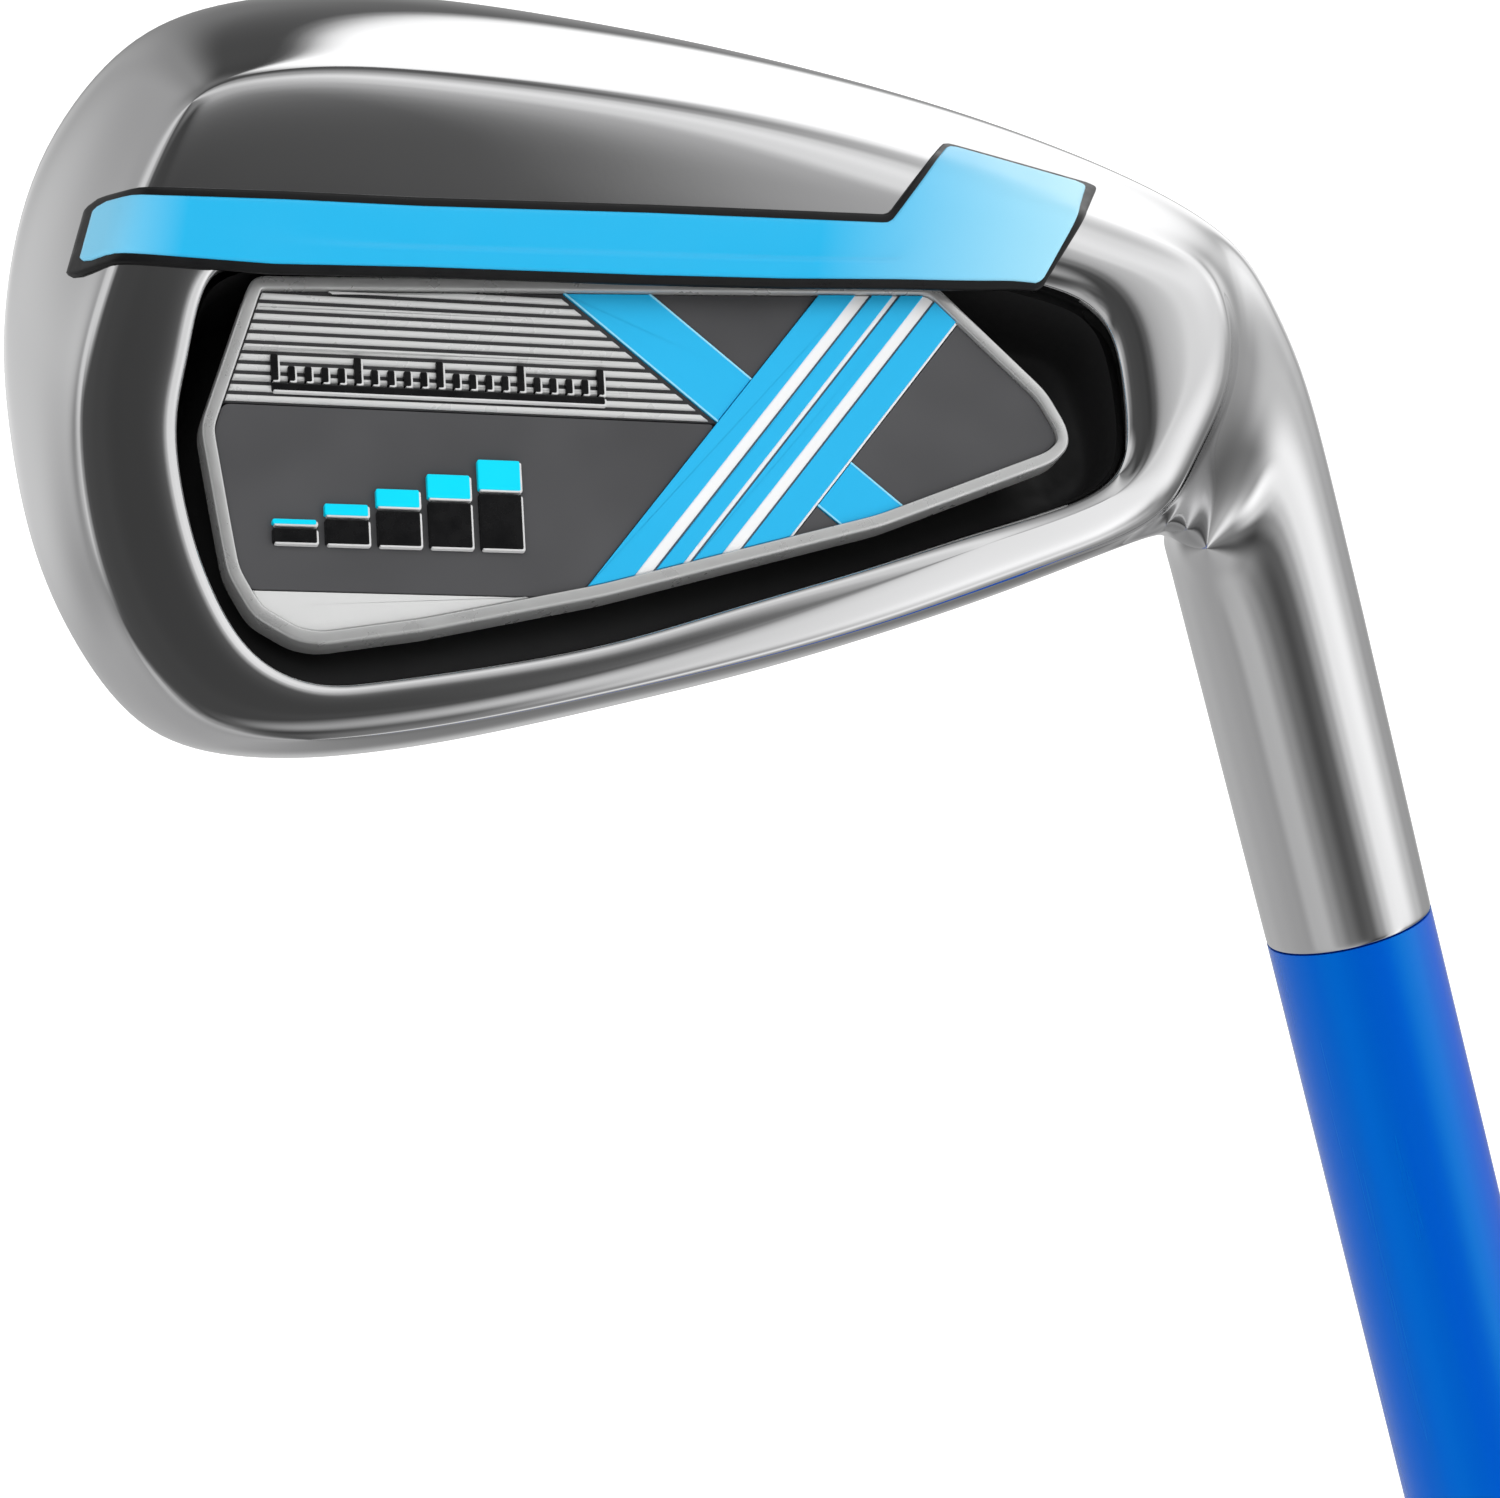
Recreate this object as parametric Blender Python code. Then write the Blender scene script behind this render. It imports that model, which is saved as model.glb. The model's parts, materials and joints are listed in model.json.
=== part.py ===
"""Swing trainer stick: a right-handed iron head on a thick flexible shaft, with a rubber grip.

The club stands along +Z: the origin is the centre of the butt cap, the shaft runs up to the head,
the toe points to -X, the striking face looks to +Y and the cavity back looks to -Y.
Lengths are in millimetres until the meshes are made, which turn them into metres.
"""

import math

import bmesh
import bpy
import numpy as np
from mathutils import Vector
from mathutils.bvhtree import BVHTree

# ---------------------------------------------------------------- driving dimensions (mm, degrees)
CLUB_LENGTH = 1016.0  # butt cap to the ground under the sole, along the shaft
SOLE_TO_FACE = 8.0  # ground to the point where the shaft's axis meets the face plane
GAP = 0.3  # clearance that touching pieces keep

LOFT = 33.0  # face plane against the shaft's plane
LIE = 62.0  # shaft against the ground

SHAFT_RADIUS = 6.0
JOINT_COUNT = 12  # bending places along the free shaft
JOINT_END_MARGIN = 16.0  # free shaft that stays straight beside the grip and the hosel
LENS_RADIUS = 1.25 * SHAFT_RADIUS  # round end of each shaft length, centred on its joint
LENS_GAP = 0.4

HOSEL_LENGTH = 50.0  # hosel mouth to the face plane, along the shaft
HOSEL_RADIUS = SHAFT_RADIUS  # flush with the shaft at the mouth
HOSEL_SWELL = 0.2  # how much wider the hosel is where it leaves the heel
HOSEL_WALL = 1.2  # metal round the bore
HOSEL_ROOT = 17.5  # face plane to the middle of the slanted ring where the hosel turns into the heel
HOSEL_ROOT_SLANT = 4.5  # that ring reaches this much further along the shaft on the heel's side
HOSEL_NECK = 0.6  # where the swell starts to fade, as a share of the straight hosel
ROOT_RING_SHARES = (0.3, 0.65)  # rings between the heel's opening and the hosel's root
# how strongly the skin leaves each side of the heel's opening, and reaches the root (mm)
FACE_PULL = 7.0
SOLE_PULL = 9.0
TOP_PULL = 9.0
BACK_PULL = 8.0
ROOT_PULL = 12.0
MOUTH_EDGE = 0.15  # round of the hosel mouth's two edges
MOUTH_EDGE_HOLD = 0.8  # ring that keeps that round small
BORE_END_HOLD = 0.5  # ring that keeps the bore's end square
BORE_TO_FACE = 22.5  # solid metal between the bore's end and the face plane, along the shaft
BOND_THICKNESS = 0.3
BOND_END_MARGIN = 1.0
BORE_END_SPACE = 1.5

GRIP_LENGTH = 266.0
GRIP_CAP_THICKNESS = 5.0
VENT_RADIUS = 1.3
TAPE_THICKNESS = 0.4
# the sleeve's taper: share of its length from the butt end, rubber over the bore
GRIP_WALLS = (
    (0.0, 6.5), (0.027, 6.1), (0.073, 5.3), (0.165, 4.7), (0.287, 4.1),
    (0.402, 3.6), (0.517, 3.25), (0.632, 2.9), (0.766, 2.4), (0.881, 1.95),
)
GRIP_MOUTH_WALL = 1.6
GRIP_MOUTH_ROUND = 1.0
TAPE_BUTT_MARGIN = 3.0  # tape's ends inside the sleeve's
TAPE_MOUTH_MARGIN = 8.0
SLEEVE_BORE_CHAMFER = (0.2, 0.5)  # at the sleeve's mouth: out from the bore, and down it
# the cap's round: in from its rim, and up from its end
CAP_ROUND = ((2.2, 0.0), (0.9, 0.5), (0.2, 1.6), (0.0, 2.6))
ROD_CHAMFER = 0.5
TENON_CHAMFER = 0.6

EDGE_RADIUS = 0.8  # round of the leading edge and topline
FACE_FLAT_INSET = 3.2  # the face is flat this far inside its outline
WALL_SHARES = (0.28, 0.6, 0.88)  # rings between the face's edge and the back ridge
TOE_ROLL = 0.9  # round of the back ridge: crisp at the toe
HEEL_ROLL = 2.2  # and soft at the heel
ROLL_GROWS = (-45.0, -15.0)  # p where it starts and stops growing
ROLL_FOOT = 0.75  # share of the roll that the wall ends below the back
ROLL_CREST = 0.35  # share of the roll that the ridge lies below the back
TOP_BELLY = 0.3  # how far the wall bulges along the topline
SOLE_BELLY = 3.2  # and along the sole
FACE_WALL = 2.6  # metal behind the face, at the cavity floor
BACK_AT_ORIGIN = 12.97  # depth of the back plane behind the face, where the shaft's axis crosses the face
BACK_SLOPE_Q = 0.2407  # the back falls towards the topline
BACK_SLOPE_P = -0.0752  # and rises towards the toe
CAVITY_DRAFT = 0.05
LIP_WIDTH = 1.3
LIP_STEP = (0.3, 0.1)  # last ring of the lip: out from the mouth, and below the back
MOUTH_DROP = 0.8  # where the lip's round ends on the cavity's wall
FLOOR_ROUND = (0.8, 0.7)  # round at the floor: in from the wall, and up it

SCORE_LINES = 14
SCORE_PITCH = 2.9
SCORE_WIDTH = 0.8
SCORE_DEPTH = 0.4
SCORE_FIRST_Q = 0.6  # score line nearest the sole
SCORE_TOE_P = -63.0
SCORE_HEEL_P = -9.0
SCORE_EDGE_INSET = 3.5  # metal left between a score line and the face's edge

BADGE_DROP = 1.2  # badge rim below the back plane
BADGE_THICKNESS = 1.5
BADGE_RIM = 0.8
POCKET_DEPTH = 1.1  # badge pocket that holds the inlays
INLAY_DROP = 0.5  # inlay tops below the rim
PAD_INSET = 1.5  # adhesive pad inside the badge's edge
BAR_THICKNESS = 0.3
RIB_PITCH = 0.58
RIB_GROOVE = 0.28
RIB_DEPTH = 0.2

BAND_BORDER_THICKNESS = 0.35
BAND_THICKNESS = 0.3
BAND_BORDER_WIDTH = 0.6
END_SHARE = 0.8  # most of its last length that the band's end may draw back
BRIDGE_FROM = -68.0  # p from which the band's edge reaches out over the cavity

HEAD_SMOOTHING = 1  # subdivision levels of the casting
CUTTER_REACH = 1.0  # how far a cutter stands out of what it cuts
METRE = 1000.0  # in mm

# ---------------------------------------------------------------- the head's outlines
# (p, q) in the face plane: p runs along the score lines towards the heel, q towards the sole, and the
# origin is where the shaft's axis meets the face. Each row is one station round the head, starting at
# the toe and passing the sole first: the face's outline, the back ridge and the cavity's mouth.
STATIONS = (
    ((-80.3, -23.0), (-75.6, -26.0), (-69.9, -30.6)),
    ((-79.3, -13.0), (-73.8, -18.2), (-69.6, -26.6)),
    ((-75.3, -4.2), (-71.5, -14.0), (-67.9, -23.9)),
    ((-70.0, 0.5), (-67.5, -11.8), (-63.0, -21.9)),
    ((-63.0, 3.4), (-62.0, -10.2), (-57.0, -20.4)),
    ((-55.0, 5.2), (-54.5, -8.9), (-50.5, -19.0)),
    ((-46.0, 6.0), (-46.5, -7.8), (-43.5, -17.5)),
    ((-37.0, 6.3), (-37.5, -6.8), (-36.0, -15.8)),
    ((-28.0, 6.2), (-28.5, -6.2), (-28.5, -14.1)),
    ((-19.0, 5.7), (-20.0, -6.2), (-21.5, -12.6)),
    ((-10.5, 4.6), (-12.0, -6.8), (-15.8, -12.3)),
    ((-3.5, 2.9), (-6.5, -7.3), (-11.9, -12.6)),
    ((1.0, 1.2), (-2.9, -8.5), (-9.8, -14.3)),
    ((3.6, -3.5), (-1.1, -11.7), (-8.7, -17.4)),
    ((3.4, -10.0), (-1.1, -16.0), (-8.2, -20.4)),
    ((0.4, -17.0), (-2.8, -20.9), (-8.9, -23.1)),
    ((-4.6, -23.3), (-5.6, -25.4), (-12.3, -25.8)),
    ((-13.0, -29.3), (-13.3, -30.3), (-18.5, -29.2)),
    ((-22.0, -34.4), (-22.3, -35.4), (-25.5, -33.1)),
    ((-31.0, -39.1), (-31.4, -40.0), (-33.5, -37.2)),
    ((-40.0, -43.3), (-40.5, -44.1), (-41.5, -41.2)),
    ((-48.5, -47.0), (-49.0, -47.6), (-49.5, -44.4)),
    ((-56.0, -49.7), (-56.5, -50.2), (-55.5, -46.5)),
    ((-62.5, -51.1), (-62.2, -51.5), (-59.6, -47.5)),
    ((-68.5, -50.4), (-67.0, -50.9), (-63.4, -46.6)),
    ((-73.3, -45.9), (-71.7, -46.8), (-66.3, -43.6)),
    ((-76.9, -39.3), (-74.9, -40.6), (-68.4, -39.7)),
    ((-79.3, -31.0), (-76.3, -33.6), (-69.9, -34.8)),
)
HEEL_FIRST = 12  # the stations whose wall opens into the hosel
HEEL_LAST = 16

BADGE_OUTLINE = (
    (-66.8, -24.0), (-68.6, -33.7), (-66.6, -39.5), (-65.7, -42.0), (-63.8, -44.2), (-61.0, -45.1),
    (-59.3, -45.0), (-53.0, -42.8), (-42.0, -38.3), (-24.1, -29.9), (-12.6, -23.1), (-11.6, -21.8),
    (-11.9, -20.6), (-13.7, -18.6), (-22.5, -13.5),
)

# straight lines across the badge, each a unit direction's left normal and its distance (mm)
CROSS_NORMAL = (0.447, 0.894)  # the stripe that runs under
CROSS_EDGES = (-39.1, -35.3)
MAIN_NORMAL = (0.858, -0.514)  # the broad stripe on top
MAIN_EDGES = (-17.55, -9.40)
MAIN_LINES = ((-15.70, -14.87), (-13.80, -13.42), (-12.25, -11.43))  # white lines in the broad stripe
LEVEL_NORMAL = (-0.188, 0.982)  # grille and corner edges
GRILLE_EDGE = -18.64
CORNER_EDGE = -29.72

# raised ornaments on the badge: a row of ticks on the grille and a stepped bar on the dark field
TICK_ROW_START = (-64.6, -30.6)  # (p, q) of the row's lower toe end
TICK_ROW_LENGTH = 21.5
TICK_ROW_HEIGHT = 2.2
TICKS = 11
STEP_BAR_START = (-63.2, -39.6)
STEP_BAR_LENGTH = 16.5
STEP_BAR_HEIGHTS = (1.4, 2.4, 3.4, 4.4, 5.4)
ORNAMENT_THICKNESS = 0.3
TICK_BASE_SHARE = 0.3  # height of the line that joins the ticks, as a share of the row's

# the coloured band over the back, as (sole-side edge, cavity-side edge) pairs from the toe's bevel to
# the heel, where it widens and wraps over the sole's edge; it hides the cavity's lip and the badge's edge
BAND_PAIRS = (
    ((-76.9, -20.5), (-77.5, -25.4)), ((-76.3, -20.4), (-76.9, -25.6)), ((-75.7, -20.6), (-76.3, -25.8)),
    ((-75.0, -20.9), (-75.6, -26.0)), ((-74.3, -21.0), (-74.8, -25.9)), ((-73.2, -20.8), (-73.6, -25.7)),
    ((-65.5, -19.1), (-66.0, -24.4)), ((-57.3, -17.4), (-56.6, -22.3)), ((-42.5, -14.1), (-42.0, -19.2)),
    ((-34.5, -12.4), (-33.0, -17.2)), ((-26.5, -10.7), (-25.5, -15.4)), ((-25.1, -8.2), (-23.3, -14.9)),
    ((-23.6, -5.6), (-21.1, -14.4)), ((-22.0, -2.9), (-19.4, -14.0)), ((-16.0, -2.5), (-17.5, -13.5)),
    ((-10.1, -2.1), (-15.4, -13.1)),
)
BAND_ROWS = (0.0, 0.12, 0.22, 0.32, 0.42, 0.53, 0.7, 1.0)  # shares across the band, close at the sole's edge

COLOURS = {
    "steel": ((0.55, 0.55, 0.56), 0.22, 1.0),
    "black_paint": ((0.010, 0.010, 0.011), 0.45, 0.0),
    "sky_blue": ((0.035, 0.50, 0.89), 0.25, 0.0),
    "white": ((0.86, 0.86, 0.86), 0.35, 0.0),
    "silver": ((0.62, 0.63, 0.64), 0.30, 1.0),
    "dark_grey": ((0.09, 0.09, 0.10), 0.40, 0.2),
    "light_grey": ((0.48, 0.50, 0.51), 0.35, 0.3),
    "shaft_blue": ((0.0, 0.09, 0.58), 0.20, 0.0),
    "rubber": ((0.016, 0.016, 0.017), 0.75, 0.0),
    "epoxy": ((0.70, 0.62, 0.42), 0.40, 0.0),
    "tape": ((0.80, 0.76, 0.66), 0.80, 0.0),
}

# ---------------------------------------------------------------- places that follow from the sizes
FACE_Z = CLUB_LENGTH - SOLE_TO_FACE
MOUTH_Z = FACE_Z - HOSEL_LENGTH
BORE_RADIUS = HOSEL_RADIUS - HOSEL_WALL
BOND_RADIUS = BORE_RADIUS - GAP - BOND_THICKNESS
TENON_RADIUS = BOND_RADIUS - GAP
BORE_DEPTH = HOSEL_LENGTH - BORE_TO_FACE
TENON_LENGTH = BORE_DEPTH - BORE_END_SPACE
TAPE_RADIUS = SHAFT_RADIUS + GAP
SLEEVE_BORE = TAPE_RADIUS + TAPE_THICKNESS + GAP

BACK_NORMAL = Vector((
    math.sin(math.radians(LOFT)) * math.cos(math.radians(LIE)),
    -math.cos(math.radians(LOFT)),
    math.sin(math.radians(LOFT)) * math.sin(math.radians(LIE)),
))
SCORE_DIRECTION = Vector((math.sin(math.radians(LIE)), 0.0, -math.cos(math.radians(LIE))))
SOLE_DIRECTION = BACK_NORMAL.cross(SCORE_DIRECTION)
HEAD_ORIGIN = Vector((0.0, 0.0, FACE_Z))


def head_to_club(p, q, r):
    """A point of the head (p, q along the face, r behind it) in the club's frame, in mm."""
    return HEAD_ORIGIN + float(p) * SCORE_DIRECTION + float(q) * SOLE_DIRECTION + float(r) * BACK_NORMAL


def back_plane(p, q):
    """Depth of the flat back frame behind the face."""
    return BACK_AT_ORIGIN + BACK_SLOPE_Q * q + BACK_SLOPE_P * p


# ---------------------------------------------------------------- making objects
def finish_of(name):
    material = bpy.data.materials.get(name)
    if material is None:
        colour, roughness, metallic = COLOURS[name]
        material = bpy.data.materials.new(name)
        material.use_nodes = True
        shader = material.node_tree.nodes["Principled BSDF"]
        shader.inputs["Base Color"].default_value = (*colour, 1.0)
        shader.inputs["Roughness"].default_value = roughness
        shader.inputs["Metallic"].default_value = metallic
    return material


def add_object(name, points, faces, finish, sharp_angle=35.0):
    """A closed mesh from points in mm, with outward faces and smooth shading between its sharp edges."""
    mesh = bpy.data.meshes.new(name)
    mesh.from_pydata([Vector(point) / METRE for point in points], [], faces)
    shape = bmesh.new()
    shape.from_mesh(mesh)
    bmesh.ops.recalc_face_normals(shape, faces=shape.faces)
    shape.to_mesh(mesh)
    shape.free()
    mesh.shade_smooth()
    mesh.set_sharp_from_angle(angle=math.radians(sharp_angle))
    mesh.materials.append(finish_of(finish))
    thing = bpy.data.objects.new(name, mesh)
    bpy.context.scene.collection.objects.link(thing)
    return thing


def turned(name, profile, finish, sides=32):
    """A solid of revolution round Z from (radius, z) points; a radius of 0 closes the end."""
    points = []
    rows = []
    for radius, z in profile:
        if radius == 0.0:
            rows.append([len(points)] * sides)
            points.append((0.0, 0.0, z))
            continue
        rows.append(list(range(len(points), len(points) + sides)))
        for i in range(sides):
            turn = 2.0 * math.pi * i / sides
            points.append((radius * math.cos(turn), radius * math.sin(turn), z))
    closed = profile[0][0] > 0.0
    pairs = list(zip(rows, rows[1:])) + ([(rows[-1], rows[0])] if closed else [])
    faces = []
    for low, high in pairs:
        for i in range(sides):
            j = (i + 1) % sides
            corners = list(dict.fromkeys((low[i], low[j], high[j], high[i])))
            if len(corners) > 2:
                faces.append(corners)
    return add_object(name, points, faces, finish)


def prism(name, outline, low, high, finish):
    """A plate on the head: a (p, q) outline between two depths, each a function of p and q."""
    count = len(outline)
    points = [head_to_club(p, q, low(p, q)) for p, q in outline]
    points += [head_to_club(p, q, high(p, q)) for p, q in outline]
    faces = [list(range(count)), list(range(count, 2 * count))]
    faces += [(i, (i + 1) % count, count + (i + 1) % count, count + i) for i in range(count)]
    return add_object(name, points, faces, finish)


# ---------------------------------------------------------------- outline helpers
def through(points):
    """Control points whose smooth closed curve passes through the given points."""
    wanted = np.array(points, dtype=float)
    control = wanted.copy()
    for _ in range(12):
        smooth = (np.roll(control, 1, axis=0) + 4.0 * control + np.roll(control, -1, axis=0)) / 6.0
        control += wanted - smooth
    return control


def outward(outline):
    """Unit normals of a closed (p, q) outline, pointing out."""
    along = np.roll(outline, -1, axis=0) - np.roll(outline, 1, axis=0)
    normal = np.stack([along[:, 1], -along[:, 0]], axis=1)
    normal /= np.linalg.norm(normal, axis=1)[:, None]
    middle = outline.mean(axis=0)
    if ((outline - middle) * normal).sum() < 0.0:
        normal = -normal
    return normal


def offset_polygon(outline, distance):
    """A closed outline of straight sides with each side moved in by the distance."""
    count = len(outline)
    area = sum(
        outline[i][0] * outline[(i + 1) % count][1] - outline[(i + 1) % count][0] * outline[i][1]
        for i in range(count)
    )
    turn = 1.0 if area > 0.0 else -1.0
    sides = []
    for i in range(count):
        a = Vector(outline[i])
        b = Vector(outline[(i + 1) % count])
        along = (b - a).normalized()
        normal = Vector((-along.y, along.x)) * turn
        sides.append((a + normal * distance, along))
    moved = []
    for i in range(count):
        (a, along_a), (b, along_b) = sides[i - 1], sides[i]
        step = (b - a).cross(along_b) / along_a.cross(along_b)
        moved.append(tuple(a + along_a * step))
    return moved


def cut(outline, normal, limit, keep_above):
    """The part of an outline on one side of the line normal . point = limit."""
    sign = 1.0 if keep_above else -1.0

    def height(point):
        return sign * (normal[0] * point[0] + normal[1] * point[1] - limit)

    kept = []
    for i, here in enumerate(outline):
        there = outline[(i + 1) % len(outline)]
        a, b = height(here), height(there)
        if a >= 0.0:
            kept.append(here)
        if (a >= 0.0) != (b >= 0.0):
            share = a / (a - b)
            kept.append(tuple(here[k] + share * (there[k] - here[k]) for k in range(2)))
    return kept


def smoothstep(value, low, high):
    share = np.clip((value - low) / (high - low), 0.0, 1.0)
    return share * share * (3.0 - 2.0 * share)


# ---------------------------------------------------------------- the head casting
def head_rings():
    """Rings round the head from the middle of the face to the middle of the cavity floor.

    Each is an array of (p, q, r) rows, one for each station. The second value gives the number of the
    ring at the leading edge, where the wall starts.
    """
    face, ridge, mouth = (through([row[k] for row in STATIONS]) for k in range(3))
    face_out, ridge_out, mouth_out = outward(face), outward(ridge), outward(mouth)
    count = len(face)
    heel = np.array([HEEL_FIRST < i < HEEL_LAST for i in range(count)])
    heel_end = np.array([i in (HEEL_FIRST, HEEL_LAST) for i in range(count)])

    def ring(outline, depth):
        depth = np.broadcast_to(np.asarray(depth, dtype=float), (count,))
        return np.column_stack([outline, depth])

    def back(outline, drop=0.0):
        return ring(outline, back_plane(outline[:, 0], outline[:, 1]) - drop)

    middle = face.mean(axis=0)
    rings = [
        ring(middle + 0.5 * (face - middle), 0.0),
        ring(face - FACE_FLAT_INSET * face_out, 0.0),
        ring(face - EDGE_RADIUS * face_out, 0.0),
    ]
    edge_depth = np.where(heel, 0.0, np.where(heel_end, 0.5 * EDGE_RADIUS, EDGE_RADIUS))
    edge = len(rings)
    rings.append(ring(face, edge_depth))

    roll = TOE_ROLL + (HEEL_ROLL - TOE_ROLL) * smoothstep(ridge[:, 0], *ROLL_GROWS)
    shoulder = back_plane(ridge[:, 0], ridge[:, 1]) - ROLL_FOOT * roll
    soleward = np.clip(face_out[:, 1], 0.0, 1.0)
    belly = TOP_BELLY + (SOLE_BELLY - TOP_BELLY) * soleward
    for share in WALL_SHARES:
        outline = face + share * (ridge - face) + (4.0 * share * (1.0 - share) * belly)[:, None] * face_out
        rings.append(ring(outline, edge_depth + share * (shoulder - edge_depth)))
    rings.append(back(ridge, ROLL_CREST * roll))
    inner = ridge - roll[:, None] * ridge_out
    rings.append(back(inner))
    lip = mouth + LIP_WIDTH * mouth_out
    rings.append(back(0.5 * (inner + lip)))
    rings.append(back(lip))
    rings.append(back(mouth + LIP_STEP[0] * mouth_out, LIP_STEP[1]))
    rings.append(back(mouth, MOUTH_DROP))
    wall_depth = back_plane(mouth[:, 0], mouth[:, 1]) - FACE_WALL
    foot = mouth - (CAVITY_DRAFT * wall_depth)[:, None] * mouth_out
    rings.append(ring(foot, FACE_WALL + FLOOR_ROUND[1]))
    floor = foot - FLOOR_ROUND[0] * mouth_out
    rings.append(ring(floor, FACE_WALL))
    centre = floor.mean(axis=0)
    rings.append(ring(centre + 0.6 * (floor - centre), FACE_WALL))
    return rings, edge


def hermite(start, start_pull, end, end_pull, share):
    a = 2.0 * share**3 - 3.0 * share**2 + 1.0
    b = share**3 - 2.0 * share**2 + share
    c = 3.0 * share**2 - 2.0 * share**3
    d = share**3 - share**2
    return a * start + b * start_pull + c * end + d * end_pull


def hosel_rings(opening, sides):
    """Rings from the opening in the heel down the hosel and up its bore.

    The opening is a list of (point, side) in the club's frame: side is face, sole, top or back.
    """
    fit = 6.0 / (4.0 + 2.0 * math.cos(2.0 * math.pi / sides))  # a smooth ring shrinks by this much

    def circle(radius, depth_of):
        ring = []
        for i in range(sides):
            turn = 2.0 * math.pi * i / sides
            x, y = math.cos(turn), math.sin(turn)
            z = MOUTH_Z + depth_of(x)
            ring.append(Vector((radius * fit * x, radius * fit * y, z)))
        return ring

    root_height = HOSEL_LENGTH - HOSEL_ROOT
    root = circle(HOSEL_RADIUS + HOSEL_SWELL, lambda x: root_height + HOSEL_ROOT_SLANT * x)
    # the direction and strength with which the skin leaves each side of the opening
    pulls = {
        "face": SCORE_DIRECTION * FACE_PULL,
        "sole": (SCORE_DIRECTION * 0.92 - SOLE_DIRECTION * 0.39) * SOLE_PULL,
        "top": (SCORE_DIRECTION * 0.75 + SOLE_DIRECTION * 0.35 - BACK_NORMAL * 0.5) * TOP_PULL,
        "back": (SCORE_DIRECTION * 0.55 - BACK_NORMAL * 0.85) * BACK_PULL,
    }
    end_pull = Vector((0.0, 0.0, -ROOT_PULL))
    rings = []
    for share in ROOT_RING_SHARES:
        ring = []
        for i, (start, side) in enumerate(opening):
            ring.append(hermite(start, pulls[side], root[i], end_pull, share))
        rings.append(ring)
    rings.append(root)
    rings.append(circle(HOSEL_RADIUS + 0.7 * HOSEL_SWELL, lambda x: HOSEL_NECK * (root_height - HOSEL_ROOT_SLANT)))
    for radius, depth in (
        (HOSEL_RADIUS, MOUTH_EDGE_HOLD), (HOSEL_RADIUS, MOUTH_EDGE), (HOSEL_RADIUS - MOUTH_EDGE, 0.0),
        (BORE_RADIUS + MOUTH_EDGE, 0.0), (BORE_RADIUS, MOUTH_EDGE), (BORE_RADIUS, MOUTH_EDGE_HOLD),
        (BORE_RADIUS, BORE_DEPTH - BORE_END_HOLD), (BORE_RADIUS, BORE_DEPTH), (0.5 * BORE_RADIUS, BORE_DEPTH),
    ):
        rings.append(circle(radius, lambda x, depth=depth: depth))
    return rings


def head_cage():
    """The casting's control mesh: the blade's rings with the hosel drawn out of the heel."""
    rings, edge = head_rings()
    count = len(rings[0])
    points = [head_to_club(*row) for ring in rings for row in ring]

    def at(ring, station):
        return ring * count + station % count

    hole_rings = (edge, edge + 1, edge + 2)
    faces = [[at(0, i) for i in range(count)], [at(len(rings) - 1, i) for i in range(count)]]
    for k in range(len(rings) - 1):
        for i in range(count):
            if k in hole_rings[:2] and HEEL_FIRST <= i < HEEL_LAST:
                continue
            faces.append((at(k, i), at(k, i + 1), at(k + 1, i + 1), at(k + 1, i)))

    # once round the opening: sole side, face side, topline side, back side
    low, mid, high = hole_rings
    loop = [(at(mid, HEEL_FIRST), "sole"), (at(low, HEEL_FIRST), "sole")]
    loop += [(at(low, i), "face") for i in range(HEEL_FIRST + 1, HEEL_LAST)]
    loop += [(at(low, HEEL_LAST), "top"), (at(mid, HEEL_LAST), "top"), (at(high, HEEL_LAST), "top")]
    loop += [(at(high, i), "back") for i in range(HEEL_LAST - 1, HEEL_FIRST, -1)]
    loop += [(at(high, HEEL_FIRST), "sole")]
    opening = [(points[index], side) for index, side in loop]
    sides = len(loop)
    previous = [index for index, _ in loop]
    for ring in hosel_rings(opening, sides):
        start = len(points)
        points.extend(ring)
        current = list(range(start, start + sides))
        for i in range(sides):
            j = (i + 1) % sides
            faces.append((previous[i], previous[j], current[j], current[i]))
        previous = current
    faces.append(previous)
    return points, faces


def make_head():
    points, faces = head_cage()
    head = add_object("head_casting", points, faces, "steel", sharp_angle=60.0)
    smooth = head.modifiers.new("smooth", "SUBSURF")
    smooth.levels = HEAD_SMOOTHING
    smooth.render_levels = HEAD_SMOOTHING
    return head


def surface_of(thing):
    """The evaluated surface of an object, for laying thin pieces on it."""
    bpy.context.view_layer.update()
    depsgraph = bpy.context.evaluated_depsgraph_get()
    evaluated = thing.evaluated_get(depsgraph)
    mesh = evaluated.to_mesh()
    shape = bmesh.new()
    shape.from_mesh(mesh)
    tree = BVHTree.FromBMesh(shape)
    shape.free()
    evaluated.to_mesh_clear()
    return tree


# ---------------------------------------------------------------- the badge and its inlays
def badge_top(p, q):
    return back_plane(p, q) - BADGE_DROP


def badge_bottom(p, q):
    return badge_top(p, q) - BADGE_THICKNESS


def pocket_floor(p, q):
    return badge_top(p, q) - POCKET_DEPTH


def inlay_low(p, q):
    return pocket_floor(p, q) + GAP


def inlay_high(p, q):
    return badge_top(p, q) - INLAY_DROP


def above_inlay(thickness):
    """The two depths of a thin piece that lies on an inlay."""
    return (
        lambda p, q: inlay_high(p, q) + GAP,
        lambda p, q: inlay_high(p, q) + GAP + thickness,
    )


def inlay_area(*sides, margin=0.5 * GAP):
    """The pocket's outline cut by (normal, limit, keep_above) lines, clear of them by the margin."""
    area = offset_polygon(BADGE_OUTLINE, BADGE_RIM + GAP)
    for normal, limit, keep_above in sides:
        moved = limit + margin if keep_above else limit - margin
        area = cut(area, normal, moved, keep_above)
    return area


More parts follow.
